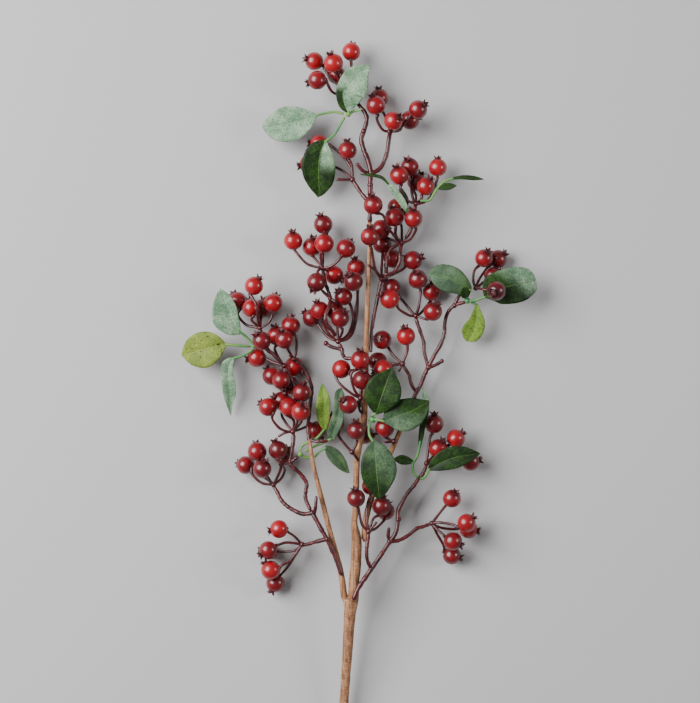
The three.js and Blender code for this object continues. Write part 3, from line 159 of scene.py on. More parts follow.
# A berry is x, y, z, the direction and tilt of its crown, then its pedicel back to the hub; without a
# direction the crown points away from the pedicel. Deeper darkens the berries of a bunch, and stalks
# are its other short rods.
bunchPlan = {
    "bunch_low_left": {"hub": [-27, 28.5, 12], "berries": [
        [-39.5, 37, 13, 190, 0, [[-35, 35.8], [-31, 32.8]]],
        [-45.3, 25.8, 15.6, 215, 10, [[-40, 28.5], [-36, 29.7], [-31, 29.3]]],
        [-45, 24.5, 4.9, None, 0, [[-39.5, 24.3], [-31.5, 25]]],
        [-44, 14.7, 13, 130, -10, [[-38.5, 17], [-34, 19.5], [-31, 23]]],
        [-41.7, 7, 5.5, 245, 0, [[-38.5, 12], [-35, 16], [-31.5, 21.5]]],
    ]},
    "bunch_left_outer": {"deeper": 0.04, "hub": [-42.5, 60.9, 11], "berries": [
        [-57.9, 71.3, 6, 170, -40, [[-54.5, 67.3], [-51.5, 63.5], [-47.5, 61.3]]],
        [-51.4, 78.9, 12.6, 100, -40, [[-49.5, 72, 8], [-45.5, 64.5]]],
        [-48.5, 69.8, 17.4, 70, 25, [[-47.5, 65]]],
        [-40, 79.9, 17, 110, 5, [[-38.5, 70, 14], [-40, 66]]],
        [-37.3, 76.2, 6.6, 60, 0, [[-36.6, 69, 9], [-38.6, 64]]],
    ]},
    "bunch_mid_left": {"hub": [-32, 89.7, 14], "berries": [
        [-45.4, 103, 15.5, 150, -30, [[-43.2, 97], [-39.5, 92], [-35.5, 90]]],
        [-38.4, 106.2, 6.4, 150, 30, [[-38.3, 99.5], [-36, 94.5]]],
        [-34, 103, 17.5, 60, -30, [[-31.5, 96]]],
        [-27.6, 101, 26, 60, 50, [[-29.5, 95, 19]]],
        [-27, 111, 20, 80, 10, [[-25.4, 103, 17.6], [-27.6, 95, 15.4]]],
        [-19.4, 90.2, 8, 300, 0, [[-24.5, 92.5], [-28, 91]]],
    ], "stalks": [[[-32, 89.7, 14], [-36, 89.2], [-40, 87, 13]]]},
    "bunch_mid_left_high": {"hub": [-36.2, 110.5, 16.6], "berries": [
        [-34, 114.8, 5.4, 350, 20, [[-35.4, 112.4, 11.4]]],
        [-38.3, 117.6, 17, 100, -20, []],
        [-43.8, 119.7, 7.4, 120, 0, [[-39, 113, 13]]],
    ]},
    "bunch_far_left": {"hub": [-49.8, 146, 13.6], "berries": [
        [-52.9, 168.5, 19, 55, 10, [[-51.5, 158, 20.4], [-50.8, 150, 17.4]]],
        [-62.1, 160.4, 8, 120, -30, [[-62, 153, 10], [-58, 148], [-54, 146.5]]],
        [-54.6, 156.6, 14, 120, -30, [[-54.3, 150]]],
        [-48.9, 156.6, 5.2, 80, -10, [[-49.6, 150]]],
        [-42.7, 159.3, 13, 70, -40, [[-43, 153], [-45, 149], [-48, 146.8]]],
    ]},
    "bunch_left_upper": {"hub": [-31.5, 129, 12], "berries": [
        [-33.2, 147, 13, 90, -20, [[-30.4, 141.5], [-30, 137], [-30.4, 132]]],
        [-36.4, 139.6, 21, 110, 20, [[-34.5, 134]]],
        [-31.6, 125, 4.9, 330, 10, [[-31.4, 127.6, 8.8]]],
    ], "stalks": [[[-31.5, 129, 12], [-34.2, 131.4, 12.2]]]},
    "bunch_far_left_low": {"deeper": 0.04, "hub": [-36.8, 125.4, 13], "berries": [
        [-48.6, 138.8, 22.6, 130, 30, [[-44.5, 133.5, 18.6], [-40, 128.6, 16]]],
        [-51.7, 129.8, 8.4, 190, 0, [[-47.3, 129.8, 9.4], [-43, 127.4, 11]]],
        [-41, 141.6, 8.6, 100, 20, [[-42, 134.6, 9.4], [-39.4, 129, 11]]],
    ]},
    "bunch_upper_left": {"deeper": 0.06, "hub": [-7.5, 138.5, 14], "berries": [
        [-22, 151.4, 8, 140, -10, [[-18, 147], [-13, 141]]],
        [-17.4, 155.4, 16.6, 110, 15, [[-16, 149], [-12.5, 142.6]]],
        [-6.5, 151, 21, 55, 30, [[-5, 145, 18]]],
        [-9, 155, 9.6, 100, 0, [[-8, 146, 11]]],
        [-4.7, 162.8, 15, 135, 40, [[-0.4, 157, 10.6], [0.6, 149, 11], [-2, 141.5, 13]]],
        [0.7, 170.8, 21.4, 125, 40, [[3, 163.5, 13.4], [2.4, 151, 11], [-1, 141, 13]]],
        [2.2, 178.5, 11, 100, 10, [[3.4, 168, 9.6], [2, 156, 9], [-1.8, 143, 12]]],
    ]},
    "bunch_upper_left_tip": {"hub": [-16, 178.3, 14], "berries": [
        [-9.8, 174.6, 9, 330, 10, [[-13.6, 177, 11]]],
        [-19.2, 170.3, 22, 250, 30, [[-18.6, 176.4, 18]]],
        [-31.8, 193, 13, 95, 20, [[-30.5, 187.2], [-25, 181], [-20, 179]]],
        [-21.8, 189.9, 8.6, 80, 25, [[-20.6, 184]]],
        [-15, 191.4, 18, 85, 0, [[-17, 185]]],
        [-15.6, 202, 11.6, 110, 20, [[-15.6, 192, 9], [-15.8, 184, 12]]],
        [-3.3, 188.8, 16, 60, -40, [[-6.2, 183.5], [-11, 179.3]]],
    ]},
    "bunch_top_inner": {"hub": [0.2, 226, 15], "berries": [
        [-2.3, 241.9, 15, 95, 0, [[0, 233]]],
        [-18, 245.9, 9, 175, 0, [[-11, 244.5], [-5, 239], [-0.8, 232.4]]],
        [-23.5, 235, 5.4, 190, 0, [[-14, 235.4, 7], [-5, 231]]],
    ], "stalks": [[[-8.8, 226, 15.4], [0.2, 226, 15]]]},
    "bunch_top": {"deeper": -0.06, "hub": [0, 271, 13], "berries": [
        [-0.4, 295.5, 12, 85, -40, [[-0.3, 287], [0, 278]]],
        [-10, 288.6, 18.6, 110, 20, [[-6, 278.5, 14]]],
        [-8.6, 283.5, 7.4, 120, 0, [[-3.4, 276.4, 10]]],
        [-20.4, 290.6, 10, 165, 20, [[-13.5, 284], [-7, 277]]],
        [-18.8, 279.6, 16.5, 195, -20, [[-11, 273.5], [-5, 271.6]]],
    ]},
    "bunch_top_right": {"hub": [20.5, 252, 14], "berries": [
        [12.8, 266, 17, 110, 10, [[13.4, 258.5], [16.5, 253]]],
        [14.8, 271, 7.2, 95, 0, [[17.4, 262], [19.2, 257]]],
        [22.3, 257.2, 21.6, 25, 50, [[20.6, 253, 16.8]]],
        [31.4, 258.6, 10.6, 20, 10, [[26, 253]]],
        [35.5, 263.4, 20.6, 35, 30, [[29.4, 257.6, 17.6], [24.4, 252.8]]],
    ]},
    "bunch_upper_right_tip": {"deeper": -0.04, "hub": [34.5, 213, 15], "berries": [
        [25.4, 228, 19.3, 110, 20, [[26, 220, 18.6], [29.5, 214.8, 18.4]]],
        [31.3, 233.2, 12, 110, 40, [[32, 222], [33, 216]]],
        [35, 225.6, 4.9, 60, 0, [[34.6, 218]]],
        [39.9, 222.4, 14.6, 60, 10, [[37.5, 215.6]]],
        [46.4, 232.8, 12, 90, 0, [[46, 226], [43, 217.4], [38.5, 213.6]]],
    ]},
    "bunch_upper_right": {"hub": [27, 192, 12], "berries": [
        [33, 204.7, 21.6, 95, 20, [[34.6, 199, 18], [31.5, 193.8]]],
        [22.9, 205.6, 17, 100, 0, [[23.6, 196]]],
        [24.4, 211.4, 6.4, 330, 30, [[26.4, 203, 8], [27, 196, 10]]],
        [15.8, 199.3, 13.6, 20, 50, [[20.6, 194]]],
        [11.3, 211.8, 25, 100, 20, [[16.5, 206.4, 24], [19.6, 199.6, 21.6], [24.4, 193.8, 15]]],
    ]},
    "bunch_upper_right_low": {"hub": [16, 172.5, 14], "berries": [
        [9.6, 194.8, 24.6, 90, 10, [[10.6, 188, 22.6], [12.6, 177, 19]]],
        [16.4, 191.6, 5.4, 95, 0, [[16.4, 184, 7.4], [16, 177, 11]]],
        [22, 183.6, 5.4, 30, 0, [[18.6, 176, 9]]],
        [33, 182.6, 10.4, 20, 20, [[28.6, 178.6, 10.4], [22.4, 175, 11]]],
    ], "stalks": [[[16, 172.5, 14], [12.6, 176.8, 20], [8.2, 179.8, 21]]]},
    "bunch_centre_right": {"hub": [34.6, 152.4, 13], "berries": [
        [21.4, 167.8, 7.4, 130, 0, [[27, 161.5], [32, 155]]],
        [20.3, 161.3, 17.5, 150, 20, [[25.4, 156, 15.4], [31, 152.6]]],
        [35.7, 172.2, 12, 105, 45, [[37.2, 165], [36.2, 157.5]]],
        [43.6, 165.6, 6, 85, 15, [[40.6, 158], [37.4, 154]]],
        [43.6, 154.6, 19, 60, 20, [[39.6, 150.6]]],
    ]},
    "bunch_centre": {"hub": [27.4, 126.4, 13], "berries": [
        [16.4, 139.4, 9.8, 150, 60, [[21.6, 132]]],
        [29.2, 141.4, 16, 100, 25, [[29.8, 133]]],
        [14, 127.6, 8.2, 180, 10, [[20.4, 126.4]]],
        [16.8, 123.4, 18.8, 200, 20, [[22.4, 125.6]]],
    ], "stalks": [[[27.4, 126.4, 13], [25.2, 122.2, 13.6]]]},
    "bunch_centre_high": {"hub": [4.6, 108, 22.2], "berries": [
        [4.4, 128.6, 24.6, 90, 20, [[-0.4, 121.4, 24.4], [1, 113, 23.4]]],
        [5.4, 117.8, 25, 85, 30, []],
        [-5.8, 123.6, 19, 340, 20, [[-7.6, 117, 21.6], [-0.4, 110.6, 22.6]]],
        [-2, 104.6, 25.4, 140, 40, []],
    ], "stalks": [[[4.6, 108, 22.2], [3.8, 102.4, 21.4], [5.8, 99.4, 21]]]},
    "bunch_centre_back": {"hub": [4, 104, 10.6], "berries": [
        [11, 115.6, 10, 60, 10, [[7, 108.6, 10.6]]],
    ]},
    "bunch_centre_left": {"deeper": 0.06, "hub": [0, 79, 22], "berries": [
        [2.2, 90.6, 24.5, 92, 10, [[2.6, 84]]],
        [-9.5, 94, 7, 120, 0, [[-7, 87, 11], [-3, 82, 17]]],
    ], "stalks": [[[0, 79, 22], [2.4, 76, 21.6], [3.4, 74, 20.6]]]},
    "bunch_centre_low": {"deeper": 0.04, "hub": [22.6, 84.6, 17], "berries": [
        [17.6, 92, 19.4, 40, 0, []],
        [7, 88, 9, 160, 0, [[13, 88.6, 12], [17.6, 87, 14.6]]],
    ], "stalks": [[[22.6, 84.6, 17], [17.2, 84, 17.6]]]},
    "bunch_right": {"deeper": 0.06, "hub": [40.3, 72.6, 14], "berries": [
        [44.4, 94, 14, 90, 15, [[42.4, 87], [41, 78.4]]],
        [46.6, 80.6, 14, 60, 20, [[42.6, 75]]],
        [56.2, 86, 12, 40, 0, [[51, 79, 7.4], [45, 73.6, 10]]],
        [64.5, 73.4, 8, 10, 0, [[56, 72.6, 9], [47, 71.8, 12]]],
    ]},
    "bunch_low_right": {"deeper": 0.08, "hub": [43.2, 40, 12], "berries": [
        [54.1, 53.4, 12, 60, 40, [[50.4, 49], [46.4, 44]]],
        [61.8, 40.6, 17.4, 40, 5, [[54, 39.6], [47, 40.6]]],
        [63.4, 36.4, 6.6, 350, 0, [[55, 36.6, 8.4], [48, 37.6]]],
        [54.4, 30.6, 16.5, 335, 0, [[49.6, 33.8], [46, 37]]],
        [54.3, 22.1, 6, 345, 0, [[50, 27], [46, 34.4]]],
    ]},
    "bunch_low_centre": {"deeper": 0.1, "hub": [9, 36.4, 22], "berries": [
        [2.2, 54.4, 25.2, 100, 20, [[3.6, 48, 22.6], [5.4, 40, 22]]],
        [15.8, 49.8, 19, 80, 0, [[11.4, 43, 20.6]]],
        [18.2, 46.4, 8.4, 75, 20, [[17.2, 41.4, 12], [12.6, 37.6, 19]]],
        [10.2, 60.6, 20.8, 90, 0, [[8.2, 50, 21.4], [8, 42, 22]]],
    ], "stalks": [[[9, 36.4, 22], [13.4, 41.6, 23]]]},
    "bunch_far_right": {"deeper": 0.18, "hub": [67, 167.4, 14.4], "berries": [
        [71.5, 183.6, 12.4, 60, 35, [[66.4, 177], [65.6, 171.4]]],
        [79.4, 183.4, 5.4, 40, 20, [[73, 178], [68.6, 171.6]]],
        [76.6, 174, 9.4, 30, 0, [[71, 170.4]]],
        [77.3, 165.6, 28.2, 200, 62, [[75, 165.8, 23.8], [70.6, 166.6, 22.4], [67.8, 167.2, 18.4]]],
    ]},
}

# A blade is an edge lift and rows of x, y, z, left and right half width. Turned says, by the number of the
# blade, which part of it shows the colour of the other face: partly where the blade turns over, and partly
# as a painted sheen, the paler face's colour laid on as a reflection.
leafPlan = {
    "leaf_top_upright": {"look": "pale", "turned": {0: [[0, -1, -0.4, 0.04], [-1, 0, -0.4, 0.03]]},
     "blades": [
        [0.16, [[-1.6, 261.8, 17.4, 0.7, 0.7], [-3, 266, 18.4, 4, 7.4], [-3.7, 272.5, 20, 5, 11.4],
            [-1, 277.6, 21, 5.8, 10.4], [2, 281.6, 21.6, 5.4, 9.2], [6, 285, 22, 2.8, 5.2],
            [10, 286.8, 22, 0.2, 0.2]]],
    ], "stalks": [[[-2, 261.3, 17], [1.4, 263, 16.4], [5.2, 263.6, 18.2]],
        [[-2, 261, 17], [-1.8, 263, 17.8]]],
     "knobs": [[-2, 261.2, 17, 1.5]]},
    "leaf_top_left": {"look": "pale", "blades": [
        [0.14, [[-19, 260.8, 15.6, 0.7, 0.7], [-25, 259.3, 15, 7.4, 5.2], [-31, 258, 14, 10.4, 8],
            [-37, 256.6, 13, 10.4, 8.4], [-43, 255.6, 11.4, 7.8, 5.8], [-46.6, 255.2, 10.4, 4, 3.4],
            [-48.8, 255, 10, 0.2, 0.2]]],
    ], "stalks": [[[-4.4, 261.4, 17], [-8, 262.3], [-12, 262.3], [-19.8, 260.6, 15.6]]]},
    "leaf_top_hanging": {"look": "green", "turned": {0: [[-1, 0, -0.47, 0.03], [0, -1, -0.42, 0.3]]},
     "blades": [
        [0.14, [[-14.4, 246.9, 18, 0.8, 1.4], [-16.6, 242, 17, 6.6, 7.2], [-18, 235, 15.6, 9, 9],
            [-18.2, 229, 14, 9, 8.4], [-18, 223.6, 12.4, 7.4, 6], [-18, 219.4, 11, 3.6, 3],
            [-18.5, 216.8, 10, 0.2, 0.2]]],
    ], "stalks": [[[-4, 259.6, 16.6], [-5.5, 257], [-9, 251], [-12.2, 248], [-15, 246, 17.8]]]},
    "leaf_upper_right_inner": {"look": "green", "turned": {0: [[0, -1, -2, 1]]}, "blades": [
        [0.1, [[28.9, 209, 18.6, 0.7, 0.7], [28, 212, 19.4, 1.7, 1.7], [25, 216.4, 20.6, 2.1, 2.1],
            [21.4, 220.8, 21.4, 1.7, 1.7], [17.8, 224.8, 22, 0.4, 0.4]]],
        [0.1, [[19.6, 223, 22, 0.5, 0.5], [16, 226.6, 22.4, 0.9, 0.9], [10, 228, 22.6, 0.9, 0.9],
            [4.3, 228.2, 22.6, 0.2, 0.2]]],
        [0.1, [[28.6, 210.6, 19, 0.6, 0.6], [29.4, 214, 16.4, 1.4, 1.4], [28, 218, 14, 1.4, 1.4],
            [26.6, 222, 12.6, 0.2, 0.2]]],
    ], "stalks": [[[31.4, 207.2, 16.2], [30, 208, 17.6], [28.6, 210, 18.8]]]},
    "leaf_upper_right_outer": {"look": "green", "blades": [
        [0.1, [[45.6, 221.4, 18, 0.7, 0.7], [49, 221.8, 18.4, 1.8, 1.8], [53, 222.2, 18.6, 1.8, 1.8],
            [56.4, 222.6, 18.8, 0.2, 0.2]]],
        [0.1, [[54, 226.4, 18.4, 0.6, 0.6], [60, 227, 18.4, 1.2, 1.2], [66, 226.6, 18, 1.2, 1.2],
            [71, 226, 17.6, 0.2, 0.2]]],
    ], "stalks": [[[36.8, 214.6, 17.2], [41.6, 214.6, 17.8], [44, 218, 18], [46, 221.5, 18]],
        [[45.6, 220.8, 18], [50, 224.8, 18.2], [55, 226.5, 18.4]]]},
    "leaf_far_left_upright": {"look": "pale", "blades": [
        [0.16, [[-60.3, 142.6, 15.6, 0.7, 0.7], [-63, 146, 17, 6, 3.2], [-65.5, 151, 18.4, 9.4, 4.4],
            [-67.2, 155.6, 19, 8.8, 5.2], [-69, 160.6, 19.4, 6.2, 4.4], [-70.2, 164.4, 19.4, 3, 2.6],
            [-70.6, 167, 19.4, 0.2, 0.2]]],
    ], "stalks": [[[-49.2, 137.2, 14.6], [-53, 136.4, 14.2]],
        [[-53, 136.2, 14.1], [-56.8, 140.6, 14.6], [-62, 144.8, 16.6]]],
     "knobs": [[-53, 136.2, 14, 1.4]]},
    "leaf_far_left": {"look": "yellow", "blades": [
        [0.1, [[-68, 136.9, 15, 0.7, 0.7], [-72, 136.2, 14.6, 6, 6], [-77, 135.2, 14, 9.3, 9],
            [-82, 133.8, 13, 9.9, 9.4], [-87, 132.5, 11, 7.4, 7.4], [-90.6, 131.6, 9, 3.4, 3.6],
            [-92.5, 131, 8, 0.2, 0.2]]],
    ], "stalks": [[[-54.9, 135.8, 14.2], [-60, 136.2, 15.2], [-68.6, 137, 15]]]},
    "leaf_far_left_hanging": {"look": "pale", "blades": [
        [0.2, [[-64.2, 129.6, 14, 0.7, 0.7], [-66.5, 126, 13.6, 2.4, 3.8], [-67.5, 120.5, 12, 3.2, 3.5],
            [-67, 115, 11, 3.9, 3.6], [-66.7, 110, 9, 3.7, 3.2], [-66.6, 105, 7, 1.8, 2],
            [-66, 98.5, 5, 0.2, 0.2]]],
    ], "stalks": [[[-53.6, 134.2, 13.8], [-56, 132.6], [-60, 130.6], [-64.8, 129.2, 14]]]},
    # this blade's turned share is a painted sheen: the paler colour laid along it as a reflection
    "leaf_right_inner": {"look": "green", "turned": {0: [[0, 1, 1.5, 3.2]]}, "blades": [
        [0.14, [[64.2, 166.4, 20, 0.7, 0.7], [61, 168.4, 20.4, 5.2, 3.6], [56, 171, 19.6, 6.8, 6.4],
            [51, 173, 18.4, 7.4, 7], [46, 174.6, 17.6, 5.8, 5.6], [43, 175.2, 17, 3.2, 3.2],
            [41.2, 175.4, 16.6, 0.2, 0.2]]],
        [0.2, [[61.7, 161.9, 18.2, 0.7, 0.7], [61, 163.6, 20.4, 2.4, 2.4], [60.6, 165.6, 22, 2.7, 2.7],
            [60.4, 167.6, 23, 0.3, 0.3]]],
    ], "stalks": [[[61.4, 161.8, 17.8], [63, 164.4, 19.4], [63.8, 167, 20]]]},
    "leaf_right_outer": {"look": "green", "turned": {0: [[-0.5, 1, 0.45, 0.4]]}, "blades": [
        [0.1, [[71.4, 162.4, 20, 0.7, 0.7], [75, 165, 20.6, 8, 6.4], [80, 167, 20.2, 9.4, 9],
            [86, 168.8, 19, 9.4, 10], [92, 170, 17.6, 8.8, 9.4], [96.5, 170.8, 16, 6.8, 6.8],
            [98.6, 171.3, 15.3, 4.4, 4.4], [99.5, 171.5, 15, 0.4, 0.4]]],
    ], "stalks": [[[62.2, 160.5, 16], [66, 160.6, 17.6], [72, 162.6, 20]]],
     "knobs": [[62.3, 160.5, 16, 1.6]]},
    "leaf_right_hanging": {"look": "lime", "blades": [
        [0.12, [[67.6, 158.6, 15.4, 0.7, 0.7], [67.5, 154.6, 14.6, 2.4, 2.4], [67.3, 150, 13, 4.7, 4.3],
            [66.3, 145.5, 11, 5.3, 6.2], [64.8, 141.5, 9, 4.2, 5.8], [63.4, 139.4, 8, 2, 3.6],
            [62.9, 138.3, 7.8, 0.2, 0.2]]],
    ], "stalks": [[[64.2, 159.2, 15.2], [66, 159.2, 15.2], [67.6, 158, 15.2]]]},
    "leaf_centre_top": {"look": "green", "blades": [
        [0.1, [[12.8, 99.6, 26.4, 0.7, 0.7], [13.8, 103, 28.2, 5.4, 5.4], [15.2, 107.5, 29.6, 9, 9],
            [16.8, 112, 30, 9.7, 9.8], [18.6, 117, 30, 8, 8], [20.3, 121.4, 29.4, 3.6, 3.6],
            [21.4, 124.4, 29, 0.2, 0.2]]],
    ], "stalks": [[[10.2, 98.4, 25.2], [11.5, 99.4, 26], [12.9, 100.2, 26.6]]]},
    # this blade's turned share is a painted sheen: the paler colour laid over it as a reflection
    "leaf_centre_right": {"look": "green", "turned": {0: [[1, -1, 0.1, 0.4], [0, 0, 0.2, 1]]},
     "blades": [
        [0.08, [[17, 95.3, 26, 0.7, 0.7], [20.6, 97.2, 26.4, 6.2, 6], [25, 98.8, 26.8, 8, 9],
            [30, 100.5, 27, 7.8, 9.4], [35, 102.8, 26, 6, 7.4], [39, 105, 25, 2.8, 3.4],
            [41.5, 106.5, 24.4, 0.2, 0.2]]],
    ], "stalks": [[[9, 95.8, 20.2], [11, 96.5, 23.6], [14, 96.4, 25.2], [17.6, 95.6, 26]]],
     "knobs": [[11, 96.5, 23.6, 1.8]]},
    # this blade's turned share is a painted sheen, lighter towards the base, laid on as a reflection
    "leaf_centre_low": {"look": "green", "turned": {0: [[-0.6, -1, -0.75, 0.5], [0, 0, 0.26, 1]]},
     "blades": [
        [0.08, [[11.4, 85.4, 27, 0.7, 0.7], [12, 81, 28.2, 6.4, 5], [12.5, 75.5, 29, 10, 7.6],
            [13, 69.5, 29, 11, 8.4], [13.5, 64, 28.6, 9.4, 7.4], [14.2, 58.5, 27.6, 5.4, 4.4],
            [14.5, 55.2, 26.8, 2, 2], [14.7, 53.3, 26.4, 0.2, 0.2]]],
    ], "stalks": [[[9.8, 94.6, 24], [9, 92, 25], [9.4, 88, 26.4], [11.5, 84.6, 27.2]]]},
    "leaf_left_narrow": {"look": "lime", "blades": [
        [0.14, [[-14.5, 90.5, 16.8, 0.7, 0.7], [-15, 95, 18, 3, 2.6], [-15.2, 101, 19, 4.2, 3.4],
            [-15, 107, 20, 3.9, 3.2], [-15.6, 112, 20, 2.3, 1.9], [-16, 116, 20, 0.2, 0.2]]],
    ], "stalks": [
        [[-28, 79.4, 15.4], [-27, 82, 14.6], [-24, 84, 14.4], [-19, 86.4, 15.2], [-14.6, 91.4, 17]]]},
    "leaf_left_grey": {"look": "pale", "turned": {0: [[0, 0, -0.1, 1]]}, "blades": [
        [0.16, [[-11.2, 85.4, 16.6, 1, 1], [-10.5, 89, 17.5, 3, 2.6], [-8.5, 95, 18.5, 3.3, 3.4],
            [-7.2, 101, 19.5, 2.8, 3], [-6.8, 107, 20, 3, 2.8], [-6.6, 111, 19.4, 2.4, 2.4],
            [-5.6, 113.4, 18.6, 0.2, 0.2]]],
    ], "stalks": [[[-25.4, 79, 14.8], [-22, 81, 14.2], [-16, 83.6, 15], [-11, 86.2, 16.8]]]},
    # this blade's turned share is an even painted sheen over the whole blade
    "leaf_left_low": {"look": "green", "turned": {0: [[0, 0, 0.38, 1]]}, "blades": [
        [0.12, [[-14.5, 81.8, 15.6, 0.7, 0.7], [-11.5, 79.5, 16.4, 2.6, 3.4], [-8, 76, 17, 3.2, 4.2],
            [-4.8, 72, 17.4, 2.4, 3.4], [-2.6, 69, 17.6, 1.1, 1.8], [-1.4, 67.6, 17.6, 0.2, 0.2]]],
    ], "stalks": [
        [[-28, 77.4, 15.6], [-24, 75.6, 14.4], [-20.4, 76.2, 14], [-17, 79.4], [-13.6, 81.4, 15.8]]],
     "knobs": [[-28, 77.6, 15.6, 1.4]]},
    "leaf_low_right_pair": {"look": "green", "turned": {1: [[0, 1, 0.6, 0.3]]}, "blades": [
        [0.12, [[33.4, 73.2, 13.6, 0.7, 0.7], [30, 74, 13.4, 2.2, 2.2], [26.6, 74.6, 13.2, 2.6, 2.6],
            [24, 74.8, 13, 1.4, 1.4], [22.6, 74.9, 13, 0.2, 0.2]]],
        [0.1, [[36.4, 81, 15.8, 0.6, 0.6], [37.2, 87, 16.6, 1.4, 1.4], [38, 93, 18, 1.6, 1.6],
            [39.6, 100, 18.6, 1.8, 1.8], [39.6, 107, 18.6, 1.7, 1.7], [38, 114, 18.2, 0.2, 0.2]]],
    ], "stalks": [[[35.4, 65, 17.6], [33.4, 67.4, 17], [32.8, 70.5, 15], [33, 73.4, 13.6]],
        [[33.2, 73, 13.8], [35.4, 77, 14.8], [37, 85, 16.4]]]},
    "leaf_low_right_long": {"look": "green", "blades": [
        [0.1, [[41.2, 69.6, 19, 0.7, 0.7], [45, 71.8, 20.6, 4, 3.3], [50, 74.3, 21.6, 5.8, 5.3],
            [56, 76.3, 22, 6, 5.8], [62, 77.3, 21.6, 4.4, 4], [66.5, 77.9, 20.6, 1.8, 1.8],
            [69, 78.1, 20, 0.2, 0.2]]],
    ], "stalks": [[[36.6, 64.2, 17.8], [39, 65.2, 18], [40.6, 67.6, 18.4], [41.8, 70.2, 19.2]]]},
}


def linear(hexColour):
    channels = [int(hexColour[i:i + 2], 16) / 255 for i in (1, 3, 5)]
    return [c / 12.92 if c <= 0.04045 else ((c + 0.055) / 1.055) ** 2.4 for c in channels] + [1]


# Adds a node with its settings; a value given for an input is set on it, a socket is linked to it.
def addNode(tree, kind, settings=None, inputs=None):
    node = tree.nodes.new(kind)
    for key, value in (settings or {}).items():
        setattr(node, key, value)
    for key, value in (inputs or {}).items():
        if isinstance(value, bpy.types.NodeSocket):
            tree.links.new(value, node.inputs[key])
        else:
            node.inputs[key].default_value = value
    return node


def mathNode(tree, operation, *values):
    return addNode(tree, "ShaderNodeMath", {"operation": operation}, dict(enumerate(values))).outputs[0]


def newMaterial(name):
    material = bpy.data.materials.new(name)
    material.use_nodes = True
    tree = material.node_tree
    tree.nodes.clear()
    shader = addNode(tree, "ShaderNodeBsdfPrincipled")
    addNode(tree, "ShaderNodeOutputMaterial", None, {"Surface": shader.outputs[0]})
    return material, tree, shader


# The place on the piece, turned or stretched where a pattern runs aslant or lengthwise.
def placeOn(tree, **change):
    place = addNode(tree, "ShaderNodeTexCoord").outputs["Object"]
    if not change:
        return place
    return addNode(tree, "ShaderNodeMapping", None, {"Vector": place, **change}).outputs[0]


def noiseOf(tree, place, sizeMm, detail=2.0, roughness=0.5):
    return addNode(tree, "ShaderNodeTexNoise", None, {
        "Vector": place, "Scale": mmPerM / sizeMm,
        "Detail": detail, "Roughness": roughness}).outputs["Fac"]


def rampOf(tree, value, stops):
    node = addNode(tree, "ShaderNodeValToRGB", None, {"Fac": value})
    elements = node.color_ramp.elements
    while len(elements) < len(stops):
        elements.new(0.5)
    for element, (place, colour) in zip(elements, stops):
        element.position = place
        element.color = linear(colour)
    return node.outputs["Color"]


def mixColours(tree, share, first, second, blend="MIX"):
    return addNode(tree, "ShaderNodeMix", {"data_type": "RGBA", "blend_type": blend}, {
        0: share, 6: first, 7: second}).outputs[2]


# Eases from low to high while the value goes from one edge to the other.
def softStep(tree, value, edges, low, high):
    return addNode(tree, "ShaderNodeMapRange", {"interpolation_type": "SMOOTHSTEP"}, {
        "Value": value, "From Min": edges[0], "From Max": edges[1],
        "To Min": low, "To Max": high}).outputs[0]


def pointValue(tree, name):
    return addNode(tree, "ShaderNodeAttribute", {"attribute_name": name}).outputs["Fac"]


# Joins colour and relief to the shader; bump is its strength and depth, surface the shader's values.
def finishSkin(tree, shader, look, colour, height):
    strength, depthMm = look["bump"]
    bump = addNode(tree, "ShaderNodeBump", None, {
        "Height": height, "Strength": strength, "Distance": depthMm / mmPerM})
    tree.links.new(colour, shader.inputs["Base Color"])
    tree.links.new(bump.outputs[0], shader.inputs["Normal"])
    for label, value in look["surface"].items():
        shader.inputs[label].default_value = value


# Moulded plastic berry under a satin lacquer: a clear soft highlight, darker towards the crown.
berrySkin = {
    "stops": [(0.18, "#a30f19"), (0.55, "#650812"), (1.0, "#30050c")],
    "blotchMm": 6.5, "blotchShare": 0.75, "peelMm": 0.5, "bump": (0.06, 0.2),
    "surface": {"Roughness": 0.33, "IOR": 1.48, "Coat Weight": 0.4, "Coat Roughness": 0.16},
}


def makeBerrySkin():
    material, tree, shader = newMaterial("LacqueredBerryPlastic")
    place = placeOn(tree)
    blotch = noiseOf(tree, place, berrySkin["blotchMm"], 3.0, 0.6)
    shade = mathNode(tree, "MULTIPLY_ADD", blotch, berrySkin["blotchShare"], pointValue(tree, "tone"))
    shade = mathNode(tree, "ADD", shade, pointValue(tree, "rise"))
    peel = noiseOf(tree, place, berrySkin["peelMm"], 1.0)
    finishSkin(tree, shader, berrySkin, rampOf(tree, shade, berrySkin["stops"]), peel)
    return material


# A plain finish with two tones in patches and a fine relief, used by the moulded pieces.
plainLooks = {
    # dry moulded calyx, unlacquered, nearly black brown
    "MouldedCalyxPlastic": {
        "stops": [(0.35, "#2c0a0f"), (0.65, "#5c161c")], "patchMm": 1.2, "reliefMm": 0.4,
        "bump": (0.3, 0.3), "surface": {"Roughness": 0.48}},
    # moulded wiry twig, maroon plastic with a worn shine
    "MouldedMaroonTwig": {
        "stops": [(0.35, "#26060b"), (0.65, "#5c1219")], "patchMm": 3, "reliefMm": 0.9,
        "bump": (0.45, 0.3), "surface": {"Roughness": 0.36, "Coat Weight": 0.2, "Coat Roughness": 0.2}},
    # injection moulded soft green leaf stalk
    "MouldedGreenPetiole": {
        "stops": [(0.35, "#2f7a4a"), (0.65, "#6f9a42")], "patchMm": 14, "reliefMm": 0.8,
        "bump": (0.2, 0.3), "surface": {"Roughness": 0.45}},
}


def makePlainLook(name):
    look = plainLooks[name]
    material, tree, shader = newMaterial(name)
    place = placeOn(tree)
    patch = noiseOf(tree, place, look["patchMm"], 3.0, 0.6)
    relief = noiseOf(tree, place, look["reliefMm"])
    finishSkin(tree, shader, look, rampOf(tree, patch, look["stops"]), relief)
    return material
